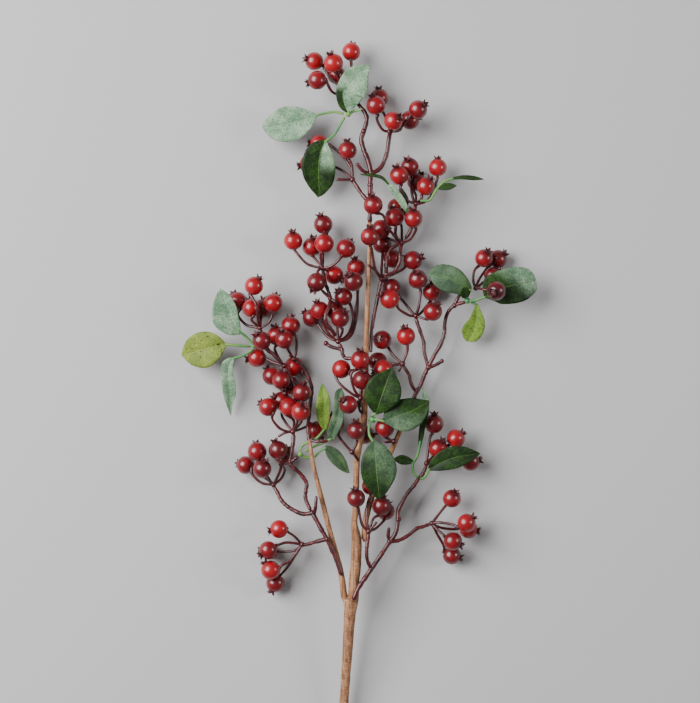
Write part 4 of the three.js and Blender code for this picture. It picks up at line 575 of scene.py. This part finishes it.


# Crepe paper tape wound in a slow spiral: matt, fine cross wrinkles and overlapping turns, with painted
# shade that darkens the creases of the wrinkles and the low side of each turn.
crepeTape = {
    "stops": [(0.5, "#573723"), (0.72, "#8e6244"), (0.98, "#bd8f6a")],
    "pitchMm": 9, "windTilt": (0.35, 0, 0.5), "lapWander": 1.2, "lapPaintedShade": 0.1, "lapHeight": 0.4,
    "fibreMm": 1.2, "fibreDraw": (1, 0.07, 1), "wrinkleMm": 0.7, "wrinkleDraw": (0.25, 1, 0.25),
    "wrinklePaintedShade": 0.4, "bump": (0.6, 0.4), "surface": {"Roughness": 0.82, "IOR": 1.45},
}
wavesPerScale = 20 / math.tau  # how many bands a wave texture lays in one unit at a scale of 1


def makeCrepeTape():
    look = crepeTape
    material, tree, shader = newMaterial("CrepePaperTape")
    lap = addNode(tree, "ShaderNodeTexWave", {"bands_direction": "Y", "wave_profile": "SAW"}, {
        "Vector": placeOn(tree, Rotation=look["windTilt"]),
        "Scale": mmPerM / look["pitchMm"] / wavesPerScale,
        "Distortion": look["lapWander"], "Detail": 2.0, "Detail Scale": 2.0}).outputs["Fac"]
    fibre = noiseOf(tree, placeOn(tree, Scale=look["fibreDraw"]), look["fibreMm"], 4.0, 0.6)
    wrinkle = noiseOf(tree, placeOn(tree, Scale=look["wrinkleDraw"]), look["wrinkleMm"], 3.0)
    # painted shade: the tone follows the relief, darker in the creases of the wrinkles and on the low side
    # of each turn
    shade = mathNode(tree, "MULTIPLY_ADD", lap, look["lapPaintedShade"], fibre)
    shade = mathNode(tree, "MULTIPLY_ADD", wrinkle, look["wrinklePaintedShade"], shade)
    height = mathNode(tree, "MULTIPLY_ADD", lap, look["lapHeight"], wrinkle)
    finishSkin(tree, shader, look, rampOf(tree, shade, look["stops"]), height)
    return material


# Printed polyester leaf cloth: a light midrib and side veins, speckle between them, a faint weave whose
# sunken places are darkened with painted shade.
leafLooks = {
    "green": {"rib": "#5c7a36", "field": "#14280c", "patch": "#2a4d14", "spot": "#0a1606",
              "spots": 0.6, "veins": 0.16, "speckleMm": 0.9, "speckleFrom": 0.5},
    "pale": {"rib": "#5d8062", "field": "#6b9070", "patch": "#a0bb9c", "spot": "#4d7355",
             "spots": 0.5, "veins": 0.25, "speckleMm": 1.1, "speckleFrom": 0.52},
    "yellow": {"rib": "#9fab54", "field": "#66792a", "patch": "#88983a", "spot": "#3a2412",
               "spots": 0.9, "veins": 0.2, "speckleMm": 2.2, "speckleFrom": 0.61},
    "lime": {"rib": "#a9bd6c", "field": "#5f7f2a", "patch": "#86a43e", "spot": "#46621f",
             "spots": 0.5, "veins": 0.25, "speckleMm": 1.1, "speckleFrom": 0.54},
}
# what the far side of each leaf shows, and what a turned part of its near side shows, also where that part
# is a painted sheen
undersideAndSheenOf = {"green": "pale", "pale": "green", "yellow": "yellow", "lime": "lime"}
leafCloth = {"veinsPerLeaf": 8.0, "veinSlope": 0.5, "veinWidth": 0.07, "wobbleMm": 7, "wobble": 0.08,
             "ribEdges": (0.002, 0.02), "ribShow": 0.8, "speckleBlur": 0.08, "patchMm": 6,
             "patchEdges": (0.36, 0.64), "weaveMm": 0.75, "threadEdges": (0.38, 0.62),
             "threadPaintedShades": ("#cdd2cb", "#ffffff"), "lineDepth": 1.5, "bump": (0.5, 0.3),
             "surface": {"Roughness": 0.55, "IOR": 1.4, "Specular IOR Level": 0.35}}


# The colour of one face of the cloth: two greens in soft patches, with darker speckles printed over.
def clothColour(tree, look, place, patch, lines):
    field = rampOf(tree, patch, list(zip(leafCloth["patchEdges"], (look["field"], look["patch"]))))
    speckle = noiseOf(tree, place, look["speckleMm"], 2.0, 0.7)
    edges = (look["speckleFrom"], look["speckleFrom"] + leafCloth["speckleBlur"])
    spotted = mixColours(tree, softStep(tree, speckle, edges, 0.0, look["spots"]), field,
                         linear(look["spot"]))
    return mixColours(tree, lines, spotted, linear(look["rib"]))


# The midrib and the side veins, which leave it slanting towards the tip.
def veinLines(tree, place, veins):
    sheet = addNode(tree, "ShaderNodeUVMap", {"uv_map": "sheet"}).outputs["UV"]
    axes = addNode(tree, "ShaderNodeSeparateXYZ", None, {"Vector": sheet})
    side = mathNode(tree, "ABSOLUTE", mathNode(tree, "SUBTRACT", axes.outputs["X"], 0.5))
    slant = mathNode(tree, "MULTIPLY_ADD", side, -leafCloth["veinSlope"], axes.outputs["Y"])
    wobble = noiseOf(tree, place, leafCloth["wobbleMm"])
    slant = mathNode(tree, "MULTIPLY_ADD", wobble, leafCloth["wobble"], slant)
    count = mathNode(tree, "MULTIPLY", slant, leafCloth["veinsPerLeaf"])
    vein = softStep(tree, mathNode(tree, "PINGPONG", count, 0.5), (0.0, leafCloth["veinWidth"]), 1.0, 0.0)
    rib = softStep(tree, side, leafCloth["ribEdges"], leafCloth["ribShow"], 0.0)
    return mathNode(tree, "MAXIMUM", rib, mathNode(tree, "MULTIPLY", vein, veins))


def makeLeafCloth(name):
    material, tree, shader = newMaterial("PrintedLeafCloth_" + name)
    place = placeOn(tree)
    lines = veinLines(tree, place, leafLooks[name]["veins"])
    patch = noiseOf(tree, place, leafCloth["patchMm"], 3.0)
    # the near face's colour and the other face's, which shows where the blade turns over and also as a
    # painted sheen
    shown, turned = [clothColour(tree, leafLooks[face], place, patch, lines)
                     for face in (name, undersideAndSheenOf[name])]
    colour = mixColours(tree, pointValue(tree, "turned"), shown, turned)
    # the weave: a faint relief, with painted shade darkening its low places
    weave = noiseOf(tree, place, leafCloth["weaveMm"])
    paintedWeaveShade = rampOf(tree, weave, list(zip(leafCloth["threadEdges"], leafCloth["threadPaintedShades"])))
    woven = mixColours(tree, 1.0, colour, paintedWeaveShade, "MULTIPLY")
    relief = mathNode(tree, "MULTIPLY_ADD", lines, -leafCloth["lineDepth"], weave)
    finishSkin(tree, shader, leafCloth, woven, relief)
    return material


skin = makeBerrySkin()
calyx, twigPlastic, petiolePlastic = [makePlainLook(name) for name in plainLooks]
tape = makeCrepeTape()
leafCloths = {name: makeLeafCloth(name) for name in leafLooks}
print("materials made")


# Starts a node tree with its named inputs, each with its socket type and first value.
def newTree(name, sizes):
    tree = bpy.data.node_groups.new(name, "GeometryNodeTree")
    face = tree.interface
    face.new_socket("Geometry", in_out="INPUT", socket_type="NodeSocketGeometry")
    for label, (kind, value) in sizes.items():
        socket = face.new_socket(label, in_out="INPUT", socket_type=kind)
        if value is not None:
            socket.default_value = value
    face.new_socket("Geometry", in_out="OUTPUT", socket_type="NodeSocketGeometry")
    return tree, addNode(tree, "NodeGroupInput")


def closeTree(tree, made, given):
    real = addNode(tree, "GeometryNodeRealizeInstances", None, {"Geometry": made})
    coloured = addNode(tree, "GeometryNodeSetMaterial", None, {
        "Geometry": real.outputs[0], "Material": given.outputs["Material"]})
    addNode(tree, "NodeGroupOutput", None, {"Geometry": coloured.outputs[0]})
    return tree


def namedValue(tree, name, kind="FLOAT"):
    node = addNode(tree, "GeometryNodeInputNamedAttribute", {"data_type": kind}, {"Name": name})
    return node.outputs["Attribute"]


# Wraps every line of the mesh with a round rod as thick as the points say, with a lumpy surface.
def makeRodTree():
    tree, given = newTree("RodsAlongLines", {
        "Sides": ("NodeSocketInt", 12), "Lump height": ("NodeSocketFloat", 0.0001),
        "Lumps per metre": ("NodeSocketFloat", 400.0), "Seed": ("NodeSocketFloat", 3.0),
        "Material": ("NodeSocketMaterial", None)})
    line = addNode(tree, "GeometryNodeMeshToCurve", None, {"Mesh": given.outputs["Geometry"]})
    ring = addNode(tree, "GeometryNodeCurvePrimitiveCircle", None, {
        "Resolution": given.outputs["Sides"], "Radius": 1.0})
    rods = addNode(tree, "GeometryNodeCurveToMesh", None, {
        "Curve": line.outputs[0], "Profile Curve": ring.outputs["Curve"],
        "Scale": namedValue(tree, "thick"), "Fill Caps": True})
    spot = addNode(tree, "GeometryNodeInputPosition")
    lumps = addNode(tree, "ShaderNodeTexNoise", {"noise_dimensions": "4D"}, {
        "Vector": spot.outputs[0], "W": given.outputs["Seed"],
        "Scale": given.outputs["Lumps per metre"], "Detail": 2.0})
    signed = mathNode(tree, "SUBTRACT", lumps.outputs[0], 0.5)
    height = mathNode(tree, "MULTIPLY", signed, given.outputs["Lump height"])
    outward = addNode(tree, "GeometryNodeInputNormal")
    move = addNode(tree, "ShaderNodeVectorMath", {"operation": "SCALE"},
                   {0: outward.outputs[0], "Scale": height})
    lumpy = addNode(tree, "GeometryNodeSetPosition", None, {
        "Geometry": rods.outputs[0], "Offset": move.outputs[0]})
    smooth = addNode(tree, "GeometryNodeSetShadeSmooth", None, {"Geometry": lumpy.outputs[0]})
    return closeTree(tree, smooth.outputs[0], given)


# Sets a copy of one shape on every point, turned and sized as the point says.
def makeScatterTree():
    tree, given = newTree("ShapeOnPoints", {
        "Shape": ("NodeSocketObject", None), "Size": ("NodeSocketFloat", 1.0),
        "Material": ("NodeSocketMaterial", None)})
    shape = addNode(tree, "GeometryNodeObjectInfo", None, {"Object": given.outputs["Shape"]})
    turned = addNode(tree, "FunctionNodeEulerToRotation", None, {
        "Euler": namedValue(tree, "turn", "FLOAT_VECTOR")})
    scaled = mathNode(tree, "MULTIPLY", namedValue(tree, "size"), given.outputs["Size"])
    copies = addNode(tree, "GeometryNodeInstanceOnPoints", None, {
        "Points": given.outputs["Geometry"], "Instance": shape.outputs["Geometry"],
        "Rotation": turned.outputs[0], "Scale": scaled})
    return closeTree(tree, copies.outputs[0], given)


rodTree = makeRodTree()
scatterTree = makeScatterTree()


def toRow(point):
    return [(point[i] + planShift[i]) / mmPerM for i in range(3)]


# Runs a node tree over a host mesh and keeps the result as a plain mesh object.
def growPiece(name, host, tree, inputs):
    holder = bpy.data.objects.new(name, host)
    bpy.context.collection.objects.link(holder)
    modifier = holder.modifiers.new("Grow", "NODES")
    modifier.node_group = tree
    for item in tree.interface.items_tree:
        if item.in_out == "INPUT" and item.name in inputs:
            modifier[item.identifier] = inputs[item.name]
    graph = bpy.context.evaluated_depsgraph_get()
    grown = bpy.data.meshes.new_from_object(holder.evaluated_get(graph), depsgraph=graph)
    grown.name = name
    holder.modifiers.clear()
    holder.data = grown
    bpy.data.meshes.remove(host)
    return holder


def standFor(piece, node):
    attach(piece, "root")
    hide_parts(node)


# Points left without a height take one between their neighbours'.
def withHeights(points):
    filled = [list(point) for point in points]
    known = [i for i, point in enumerate(points) if len(point) > 2]
    for first, last in zip(known, known[1:]):
        for i in range(first + 1, last):
            share = (i - first) / (last - first)
            filled[i].append(points[first][2] + share * (points[last][2] - points[first][2]))
    return filled


# A smooth line through rows of any width, in even steps between the rows.
def smoothRows(rows, perSpan):
    path = []
    for i in range(len(rows) - 1):
        a, b, c, d = [rows[min(max(i + k, 0), len(rows) - 1)] for k in (-1, 0, 1, 2)]
        for step in range(perSpan):
            t = step / perSpan
            path.append([0.5 * (2 * q + (r - p) * t + (2 * p - 5 * q + 4 * r - s) * t ** 2
                                + (3 * q - p - 3 * r + s) * t ** 3) for p, q, r, s in zip(a, b, c, d)])
    path.append(list(rows[-1]))
    return path


roundTip = {"shoulderBack": 0.45, "shoulderWidth": 0.85, "tipWidth": 0.35}  # shares of the rod's radius


# The line of a rod with its thickness: round ends, and swellings every few millimetres.
# Reach is how far each end runs on past its row, into what it joins.
def rodLine(rows, relief, reach, roundStart=True):
    rows = [list(row) for row in rows]
    for end, inner in ((0, 1), (-1, -2)):
        out = (Vector(rows[end][:3]) - Vector(rows[inner][:3])).normalized() * reach
        rows[end][:3] = Vector(rows[end][:3]) + out
    path = smoothRows(rows, relief["spanSteps"])
    for point in path[1:-1]:
        point[3] *= 1 + relief["unevenness"] * random.uniform(-1, 1)
    for isRound, end, inner in ((roundStart, 0, 1), (True, -1, -2)):
        if isRound:
            tip = Vector(path[end][:3])
            back = (Vector(path[inner][:3]) - tip).normalized()
            radius = path[end][3]
            shoulder = list(tip + back * radius * roundTip["shoulderBack"])
            path[end] = list(tip) + [radius * roundTip["tipWidth"]]
            path.insert(1 if end == 0 else len(path) - 1, shoulder + [radius * roundTip["shoulderWidth"]])
    return path


def lineMesh(name, paths):
    verts, edges, thick = [], [], []
    for path in paths:
        edges += [(len(verts) + i, len(verts) + i + 1) for i in range(len(path) - 1)]
        verts += [toRow(point) for point in path]
        thick += [point[3] / mmPerM for point in path]
    mesh = bpy.data.meshes.new(name)
    mesh.from_pydata(verts, edges, [])
    mesh.attributes.new("thick", "FLOAT", "POINT").data.foreach_set("value", thick)
    return mesh


def growRods(name, paths, relief, material):
    return growPiece(name, lineMesh(name, paths), rodTree, {
        "Sides": relief["sides"], "Lump height": relief["lumpHeightMm"] / mmPerM,
        "Lumps per metre": mmPerM / relief["lumpMm"], "Seed": relief["seed"], "Material": material})


# Stems: crepe tape over wire, its turns standing a little proud of each other.
tapeRelief = {"sides": 28, "spanSteps": 14, "lumpHeightMm": 0.28, "lumpMm": 2.6, "unevenness": 0.025,
              "seed": 2.0, "tuckMm": 2.2, "collarRadius": 3.95, "rimMm": 0.35, "rimWidth": 0.88}
# where the taped shoots vanish inside the top of the stem, each with its radius there
shootRoots = {"shoot_left": [-1.7, -5, 15.6, 1.3], "shoot_centre": [0, -6, 16.2, 2.3]}


def buildStems():
    for name, rows in stemPlan.items():
        isStem = name == "stem_main"
        rows = ([shootRoots[name]] if name in shootRoots else []) + rows
        if isStem:
            rows = rows[:-1] + [rows[-1][:3] + [tapeRelief["collarRadius"]]]
        path = rodLine(rows, tapeRelief, 0 if isStem else tapeRelief["tuckMm"], not isStem)
        if isStem:  # square cut with a soft rim
            start = Vector(path[0][:3])
            ahead = (Vector(path[1][:3]) - start).normalized()
            path.insert(1, list(start + ahead * tapeRelief["rimMm"]) + [path[0][3]])
            path[0][3] *= tapeRelief["rimWidth"]
        piece = growRods(name + "_tape", [path], tapeRelief, tape)
        standFor(piece, name)
    print("stems taped")


# Twigs: moulded rods with rounded stubs, and knobs where they branch.
twigRelief = {"sides": 12, "spanSteps": 6, "lumpHeightMm": 0.42, "lumpMm": 1.7, "unevenness": 0.14,
              "seed": 5.0, "girth": 1.12, "reach": 1.3}
# a knob is a short fat rod through its centre: how far along it, and how wide there, in its radius
knobShape = {"lean": (0.4, 0.9, 0.1), "outline": (
    (-1, 0.25), (-0.8, 0.65), (-0.45, 0.92), (0, 1), (0.45, 0.92), (0.8, 0.65), (1, 0.25))}


def knobLine(x, y, z, radius):
    axis = Vector(knobShape["lean"]).normalized()
    return [list(Vector((x, y, z)) + axis * radius * share) + [radius * width]
            for share, width in knobShape["outline"]]


def rodsWithKnobs(name, rods, knobs, relief, material):
    paths = [rodLine(rows, relief, relief["reach"]) for rows in rods]
    paths += [knobLine(*knob) for knob in knobs]
    return growRods(name, paths, relief, material)


def buildTwigs():
    for name, plan in twigPlan.items():
        rods = []
        for first, last, points in plan["rods"]:
            rows = withHeights(points)
            for i, row in enumerate(rows):
                row.append((first + (last - first) * i / (len(rows) - 1)) * twigRelief["girth"])
            rods.append(rows)
        piece = rodsWithKnobs(name + "_rods", rods, plan.get("knobs", []), twigRelief, twigPlastic)
        standFor(piece, name)
    print("twigs grown")


# Berries: one body and one crown shape, set on every pedicel.
berryShape = {"radius": 5.2, "columns": 20, "rows": 11, "neckHeight": 4.6, "dimple": 0.35,
              "dimpleRadius": 1.6, "dimpleRows": 3, "lobes": 5, "lobeHeight": 0.012,
              "darkFrom": 0.62, "darkGain": 0.9, "neckDark": 0.35,
              "tones": (-0.16, 0.2), "sizes": (0.95, 1.015)}
# the outline runs up the outside of the lip and down its inside: how far up, and how many walls in
crownShape = {"points": 5, "perPoint": 4, "tipRadius": 2.7, "tipHeight": 6.8, "valleyRadius": 1.85,
              "valleyHeight": 5.55, "neckRadius": 1.5, "floorHeight": 5.0, "rootDepth": 1.2,
              "neckDepth": 0.5, "pointedness": 1.6, "lift": 1.3, "flare": 1.3, "wall": 0.32,
              "wallRise": 0.6, "outline": (
                  (0, 0), (0.4, 0), (0.75, 0), (1, 0), (1, 0.5), (0.7, 1), (0.3, 1), (0, 1.4))}
pedicelRelief = {"sides": 8, "spanSteps": 4, "lumpHeightMm": 0.16, "lumpMm": 1.4, "unevenness": 0.07,
                 "seed": 5.0, "reach": 0, "radius": 0.76, "flare": 1.3, "stalkRadius": 0.72,
                 "hubRadius": 1.5, "sink": 4.8}


def shapeObject(name, verts, faces):
    mesh = bpy.data.meshes.new(name)
    mesh.from_pydata([[value / mmPerM for value in vert] for vert in verts], [], faces)
    mesh.polygons.foreach_set("use_smooth", [True] * len(mesh.polygons))
    holder = bpy.data.objects.new(name, mesh)
    bpy.context.collection.objects.link(holder)
    return holder


# Closed rings of points from one end of the axis to the other, joined with faces pointing out.
def ringFaces(rings, columns, lastPole):
    faces = [(0, 1 + (i + 1) % columns, 1 + i) for i in range(columns)]
    for ring in range(rings - 1):
        low = 1 + ring * columns
        for i in range(columns):
            after = (i + 1) % columns
            faces.append((low + i, low + after, low + columns + after, low + columns + i))
    top = 1 + (rings - 1) * columns
    faces += [(top + i, top + (i + 1) % columns, lastPole) for i in range(columns)]
    return faces


def berryTemplate():
    size = berryShape
    verts = [(0, 0, -size["radius"] + size["dimple"])]
    rise = [0.0]
    for row in range(1, size["rows"] + 1):
        angle = math.pi * row / (size["rows"] + 1)
        radius = size["radius"] * math.sin(angle)
        height = -size["radius"] * math.cos(angle)
        if row <= size["dimpleRows"]:
            height += size["dimple"] * math.exp(-(radius / size["dimpleRadius"]) ** 2)
        for column in range(size["columns"]):
            turn = math.tau * column / size["columns"]
            lobed = radius * (1 + size["lobeHeight"] * math.cos(size["lobes"] * turn) * math.sin(angle))
            verts.append((lobed * math.cos(turn), lobed * math.sin(turn), height))
            rise.append(max(0.0, height / size["radius"] - size["darkFrom"]) * size["darkGain"])
    verts.append((0, 0, size["neckHeight"]))
    rise.append(size["neckDark"])
    holder = shapeObject("BerryShape", verts, ringFaces(size["rows"], size["columns"], len(verts) - 1))
    holder.data.attributes.new("rise", "FLOAT", "POINT").data.foreach_set("value", rise)
    return holder


def crownTemplate():
    size = crownShape
    columns = size["points"] * size["perPoint"]
    lip = []
    for column in range(columns):
        tip = abs((column % size["perPoint"]) / size["perPoint"] - 0.5) * 2  # 1 at a tip, 0 between
        outward = (size["tipRadius"] - size["valleyRadius"]) * tip ** size["pointedness"]
        upward = (size["tipHeight"] - size["valleyHeight"]) * tip ** size["lift"]
        lip.append((math.tau * column / columns, size["valleyRadius"] + outward,
                    size["valleyHeight"] + upward))
    neck = size["floorHeight"] - size["neckDepth"]
    verts = [(0, 0, size["floorHeight"] - size["rootDepth"])]
    for share, walls in size["outline"]:
        for turn, lipRadius, lipHeight in lip:
            radius = size["neckRadius"] + (lipRadius - size["neckRadius"]) * share ** size["flare"]
            radius -= size["wall"] * walls
            height = neck + (lipHeight - neck) * share + size["wall"] * walls * size["wallRise"]
            verts.append((radius * math.cos(turn), radius * math.sin(turn), height))
    verts.append((0, 0, size["floorHeight"]))
    return shapeObject("CrownShape", verts, ringFaces(len(size["outline"]), columns, len(verts) - 1))


# The way a crown faces: its direction seen from above, and its tilt up from the table.
def crownAxis(direction, tilt):
    a, b = math.radians(direction), math.radians(tilt)
    return Vector((math.cos(a) * math.cos(b), math.sin(a) * math.cos(b), math.sin(b)))


def pointMesh(name, points):
    mesh = bpy.data.meshes.new(name)
    mesh.from_pydata([toRow(point["at"]) for point in points], [], [])
    turns = [value for point in points for value in point["turn"]]
    mesh.attributes.new("turn", "FLOAT_VECTOR", "POINT").data.foreach_set("vector", turns)
    for key in ("size", "tone"):
        values = [point[key] for point in points]
        mesh.attributes.new(key, "FLOAT", "POINT").data.foreach_set("value", values)
    return mesh


def buildBunches():
    shapes = {"berries": (berryTemplate(), "berry_skin", skin),
              "crowns": (crownTemplate(), "berry_crown", calyx)}
    for name, plan in bunchPlan.items():
        hub = plan["hub"]
        points = []
        rods = [[row + [pedicelRelief["stalkRadius"]] for row in withHeights(stalk)]
                for stalk in plan.get("stalks", [])]
        for x, y, z, direction, tilt, via in plan["berries"]:
            if direction is None:
                last = via[0] if via else hub
                direction = math.degrees(math.atan2(y - last[1], x - last[0]))
            axis = crownAxis(direction, tilt)
            spin = Matrix.Rotation(random.uniform(0, math.tau), 3, "Z")
            turn = (axis.to_track_quat("Z", "Y").to_matrix() @ spin).to_euler()
            tone = random.uniform(*berryShape["tones"]) + plan.get("deeper", 0)
            size = random.uniform(*berryShape["sizes"])
            points.append({"at": (x, y, z), "turn": tuple(turn), "tone": tone, "size": size})
            foot = Vector((x, y, z)) - axis * pedicelRelief["sink"]
            rows = withHeights([list(foot)] + [list(v) for v in via] + [list(hub)])
            for i, row in enumerate(rows):
                row.append(pedicelRelief["radius"] * (pedicelRelief["flare"] if i == 0 else 1))
            rods.append(rows)
        for label, (shape, slotName, material) in shapes.items():
            piece = growPiece(name + "_" + label, pointMesh(name, points), scatterTree, {
                "Shape": shape, "Size": 1.0, "Material": material})
            standFor(piece, name)
        knobs = [list(hub) + [pedicelRelief["hubRadius"]]]
        piece = rodsWithKnobs(name + "_pedicels", rods, knobs, pedicelRelief, twigPlastic)
        standFor(piece, name)
    for shape, _, _ in shapes.values():
        bpy.data.objects.remove(shape)
    print("bunches set")


# Leaves: thin bent sheets on moulded stalks. Ripple and quilt are waves along the blade, and they and
# the groove reach their full depth where the half width is at least the one given here.
leafForm = {"spanSteps": 4, "columns": 12, "thickness": 0.3, "leastHalf": 0.12, "archPerWidth": 0.05,
            "groove": 0.35, "grooveHalf": 0.9, "grooveFrom": 3, "ripple": 0.35, "rippleWaves": 9,
            "quilt": 0.18, "quiltWaves": 50, "quiltSlant": 6, "wavesFrom": 6, "phaseStep": 2.1}
petioleRelief = {"sides": 8, "spanSteps": 5, "lumpHeightMm": 0.1, "lumpMm": 2, "unevenness": 0.05,
                 "seed": 5.0, "reach": 0, "radius": 0.7}


# How far the sheet stands above its midline at one place, s running from -1 to 1 across it.
def sheetHeight(lift, width, s, share, phase):
    form = leafForm
    waves = form["ripple"] * s * s * math.sin(form["rippleWaves"] * share + phase + s)
    waves += form["quilt"] * math.sin(form["quiltWaves"] * share - form["quiltSlant"] * abs(s))
    groove = form["groove"] * math.exp(-(s * width / form["grooveHalf"]) ** 2)
    return (lift * abs(s * width) + form["archPerWidth"] * width * (1 - s * s)
            - groove * min(1, width / form["grooveFrom"]) + waves * min(1, width / form["wavesFrom"]))


def leafSheet(lift, rows, phase):
    stations = smoothRows(rows, leafForm["spanSteps"])
    centres = [Vector(station[:3]) for station in stations]
    steps = [0] + [(b - a).length for a, b in zip(centres, centres[1:])]
    columns = leafForm["columns"]
    upper, lower, sheet = [], [], []
    gone = 0.0
    for i, (centre, station) in enumerate(zip(centres, stations)):
        ahead = (centres[min(i + 1, len(centres) - 1)] - centres[max(i - 1, 0)]).normalized()
        across = Vector((ahead.y, -ahead.x, 0)).normalized()
        up = across.cross(ahead).normalized()
        gone += steps[i]
        share = gone / sum(steps)
        for column in range(columns + 1):
            s = 2 * column / columns - 1
            width = max(station[3] if s < 0 else station[4], leafForm["leastHalf"])
            spot = centre + across * (s * width) + up * sheetHeight(lift, width, s, share, phase)
            upper.append(spot + up * leafForm["thickness"] / 2)
            lower.append(spot - up * leafForm["thickness"] / 2)
            sheet.append((column / columns, share))
    return upper, lower, sheet, len(stations)


# How much of the other face's colour shows at one place on the sheet, where the blade turns over and where
# that colour is a painted sheen. A turned part is a line across the sheet, [a, b, c], and how softly it
# starts: it shows where a * across + b * along > c.
def turnedOrSheenShare(across, along, turned):
    share = 1
    for a, b, c, soft in turned:
        share *= min(max((a * across + b * along - c) / soft + 0.5, 0), 1)
    return share if turned else 0


def leafMesh(name, blades, look, turned):
    verts, faces, uvs, sides, shares = [], [], [], [], []
    wide = leafForm["columns"] + 1
    for number, (lift, rows) in enumerate(blades):
        phase = number * leafForm["phaseStep"] + len(name)
        upper, lower, sheet, count = leafSheet(lift, rows, phase)
        start = len(verts)
        below = start + len(upper)
        verts += upper + lower
        uvs += sheet + sheet
        shares += [turnedOrSheenShare(u, v, turned.get(number, [])) for u, v in sheet] + [0] * len(lower)
        for i in range(count - 1):
            for j in range(wide - 1):
                a = i * wide + j
                faces.append((start + a, start + a + 1, start + a + wide + 1, start + a + wide))
                faces.append((below + a, below + a + wide, below + a + wide + 1, below + a + 1))
                sides += [0, 1]
        rim = list(range(wide)) + [i * wide + wide - 1 for i in range(1, count)]
        rim += [(count - 1) * wide + j for j in range(wide - 2, -1, -1)]
        rim += [i * wide for i in range(count - 2, 0, -1)]
        for a, b in zip(rim, rim[1:] + rim[:1]):
            faces.append((start + b, start + a, below + a, below + b))
            sides.append(0)
    mesh = bpy.data.meshes.new(name)
    mesh.from_pydata([toRow(vert) for vert in verts], [], faces)
    # the turned share, which also carries the painted sheen, for the cloth's colour mix
    mesh.attributes.new("turned", "FLOAT", "POINT").data.foreach_set("value", shares)
    mesh.polygons.foreach_set("material_index", sides)
    mesh.polygons.foreach_set("use_smooth", [True] * len(faces))
    layer = mesh.uv_layers.new(name="sheet")
    for loop in mesh.loops:
        layer.data[loop.index].uv = uvs[loop.vertex_index]
    mesh.materials.append(leafCloths[look])
    mesh.materials.append(leafCloths[undersideAndSheenOf[look]])
    return mesh


def buildLeaves():
    for name, plan in leafPlan.items():
        sheet = leafMesh(name, plan["blades"], plan["look"], plan.get("turned", {}))
        blade = bpy.data.objects.new(name + "_blade", sheet)
        bpy.context.collection.objects.link(blade)
        standFor(blade, name)
        rods = [[row + [petioleRelief["radius"]] for row in withHeights(stalk)]
                for stalk in plan["stalks"]]
        knobs = plan.get("knobs", [])
        piece = rodsWithKnobs(name + "_stalk", rods, knobs, petioleRelief, petiolePlastic)
        standFor(piece, name)
    print("leaves hung")


buildStems()
buildTwigs()
buildBunches()
buildLeaves()


# The table, the lights and the camera, whose view takes in spanMm at viewHeight above the table.
studio = {"centre": (-1.1, 133.1, 0), "spanMm": 379.62, "viewHeight": 0.017, "lens": 130, "sensor": 36,
          "tableSize": 6, "floor": "#b9b8b9", "floorRoughness": 0.9, "sky": 0.2}
# each lamp's place from the centre, its width and its power
lamps = {"Softbox": ((-0.9, 0.35, 0.95), 1.0, 42), "Fill": ((0.95, 0.1, 0.6), 0.3, 4)}


def buildStudio():
    x, y, _ = toRow(studio["centre"])
    bpy.ops.mesh.primitive_plane_add(size=studio["tableSize"], location=(x, y, 0))
    floor = bpy.context.object
    floor.name = "Table"
    material, _, shader = newMaterial("PaleMattBoard")
    shader.inputs["Base Color"].default_value = linear(studio["floor"])
    shader.inputs["Roughness"].default_value = studio["floorRoughness"]
    floor.data.materials.append(material)
    world = bpy.data.worlds.new("Studio")
    world.use_nodes = True
    world.node_tree.nodes["Background"].inputs[0].default_value = (1, 1, 1, 1)
    world.node_tree.nodes["Background"].inputs[1].default_value = studio["sky"]
    bpy.context.scene.world = world
    for name, (place, size, power) in lamps.items():
        lamp = bpy.data.lights.new(name, "AREA")
        lamp.size = size
        lamp.energy = power
        holder = bpy.data.objects.new(name, lamp)
        holder.location = (x + place[0], y + place[1], place[2])
        aim = Vector((x, y, 0)) - holder.location
        holder.rotation_euler = aim.to_track_quat("-Z", "Y").to_euler()
        bpy.context.collection.objects.link(holder)
    camera = bpy.data.cameras.new("Camera")
    camera.lens = studio["lens"]
    camera.sensor_width = studio["sensor"]
    holder = bpy.data.objects.new("Camera", camera)
    distance = studio["spanMm"] / mmPerM * studio["lens"] / studio["sensor"]
    holder.location = (x, y, distance + studio["viewHeight"])
    bpy.context.collection.objects.link(holder)
    bpy.context.scene.camera = holder
    print("table and lights set")


buildStudio()
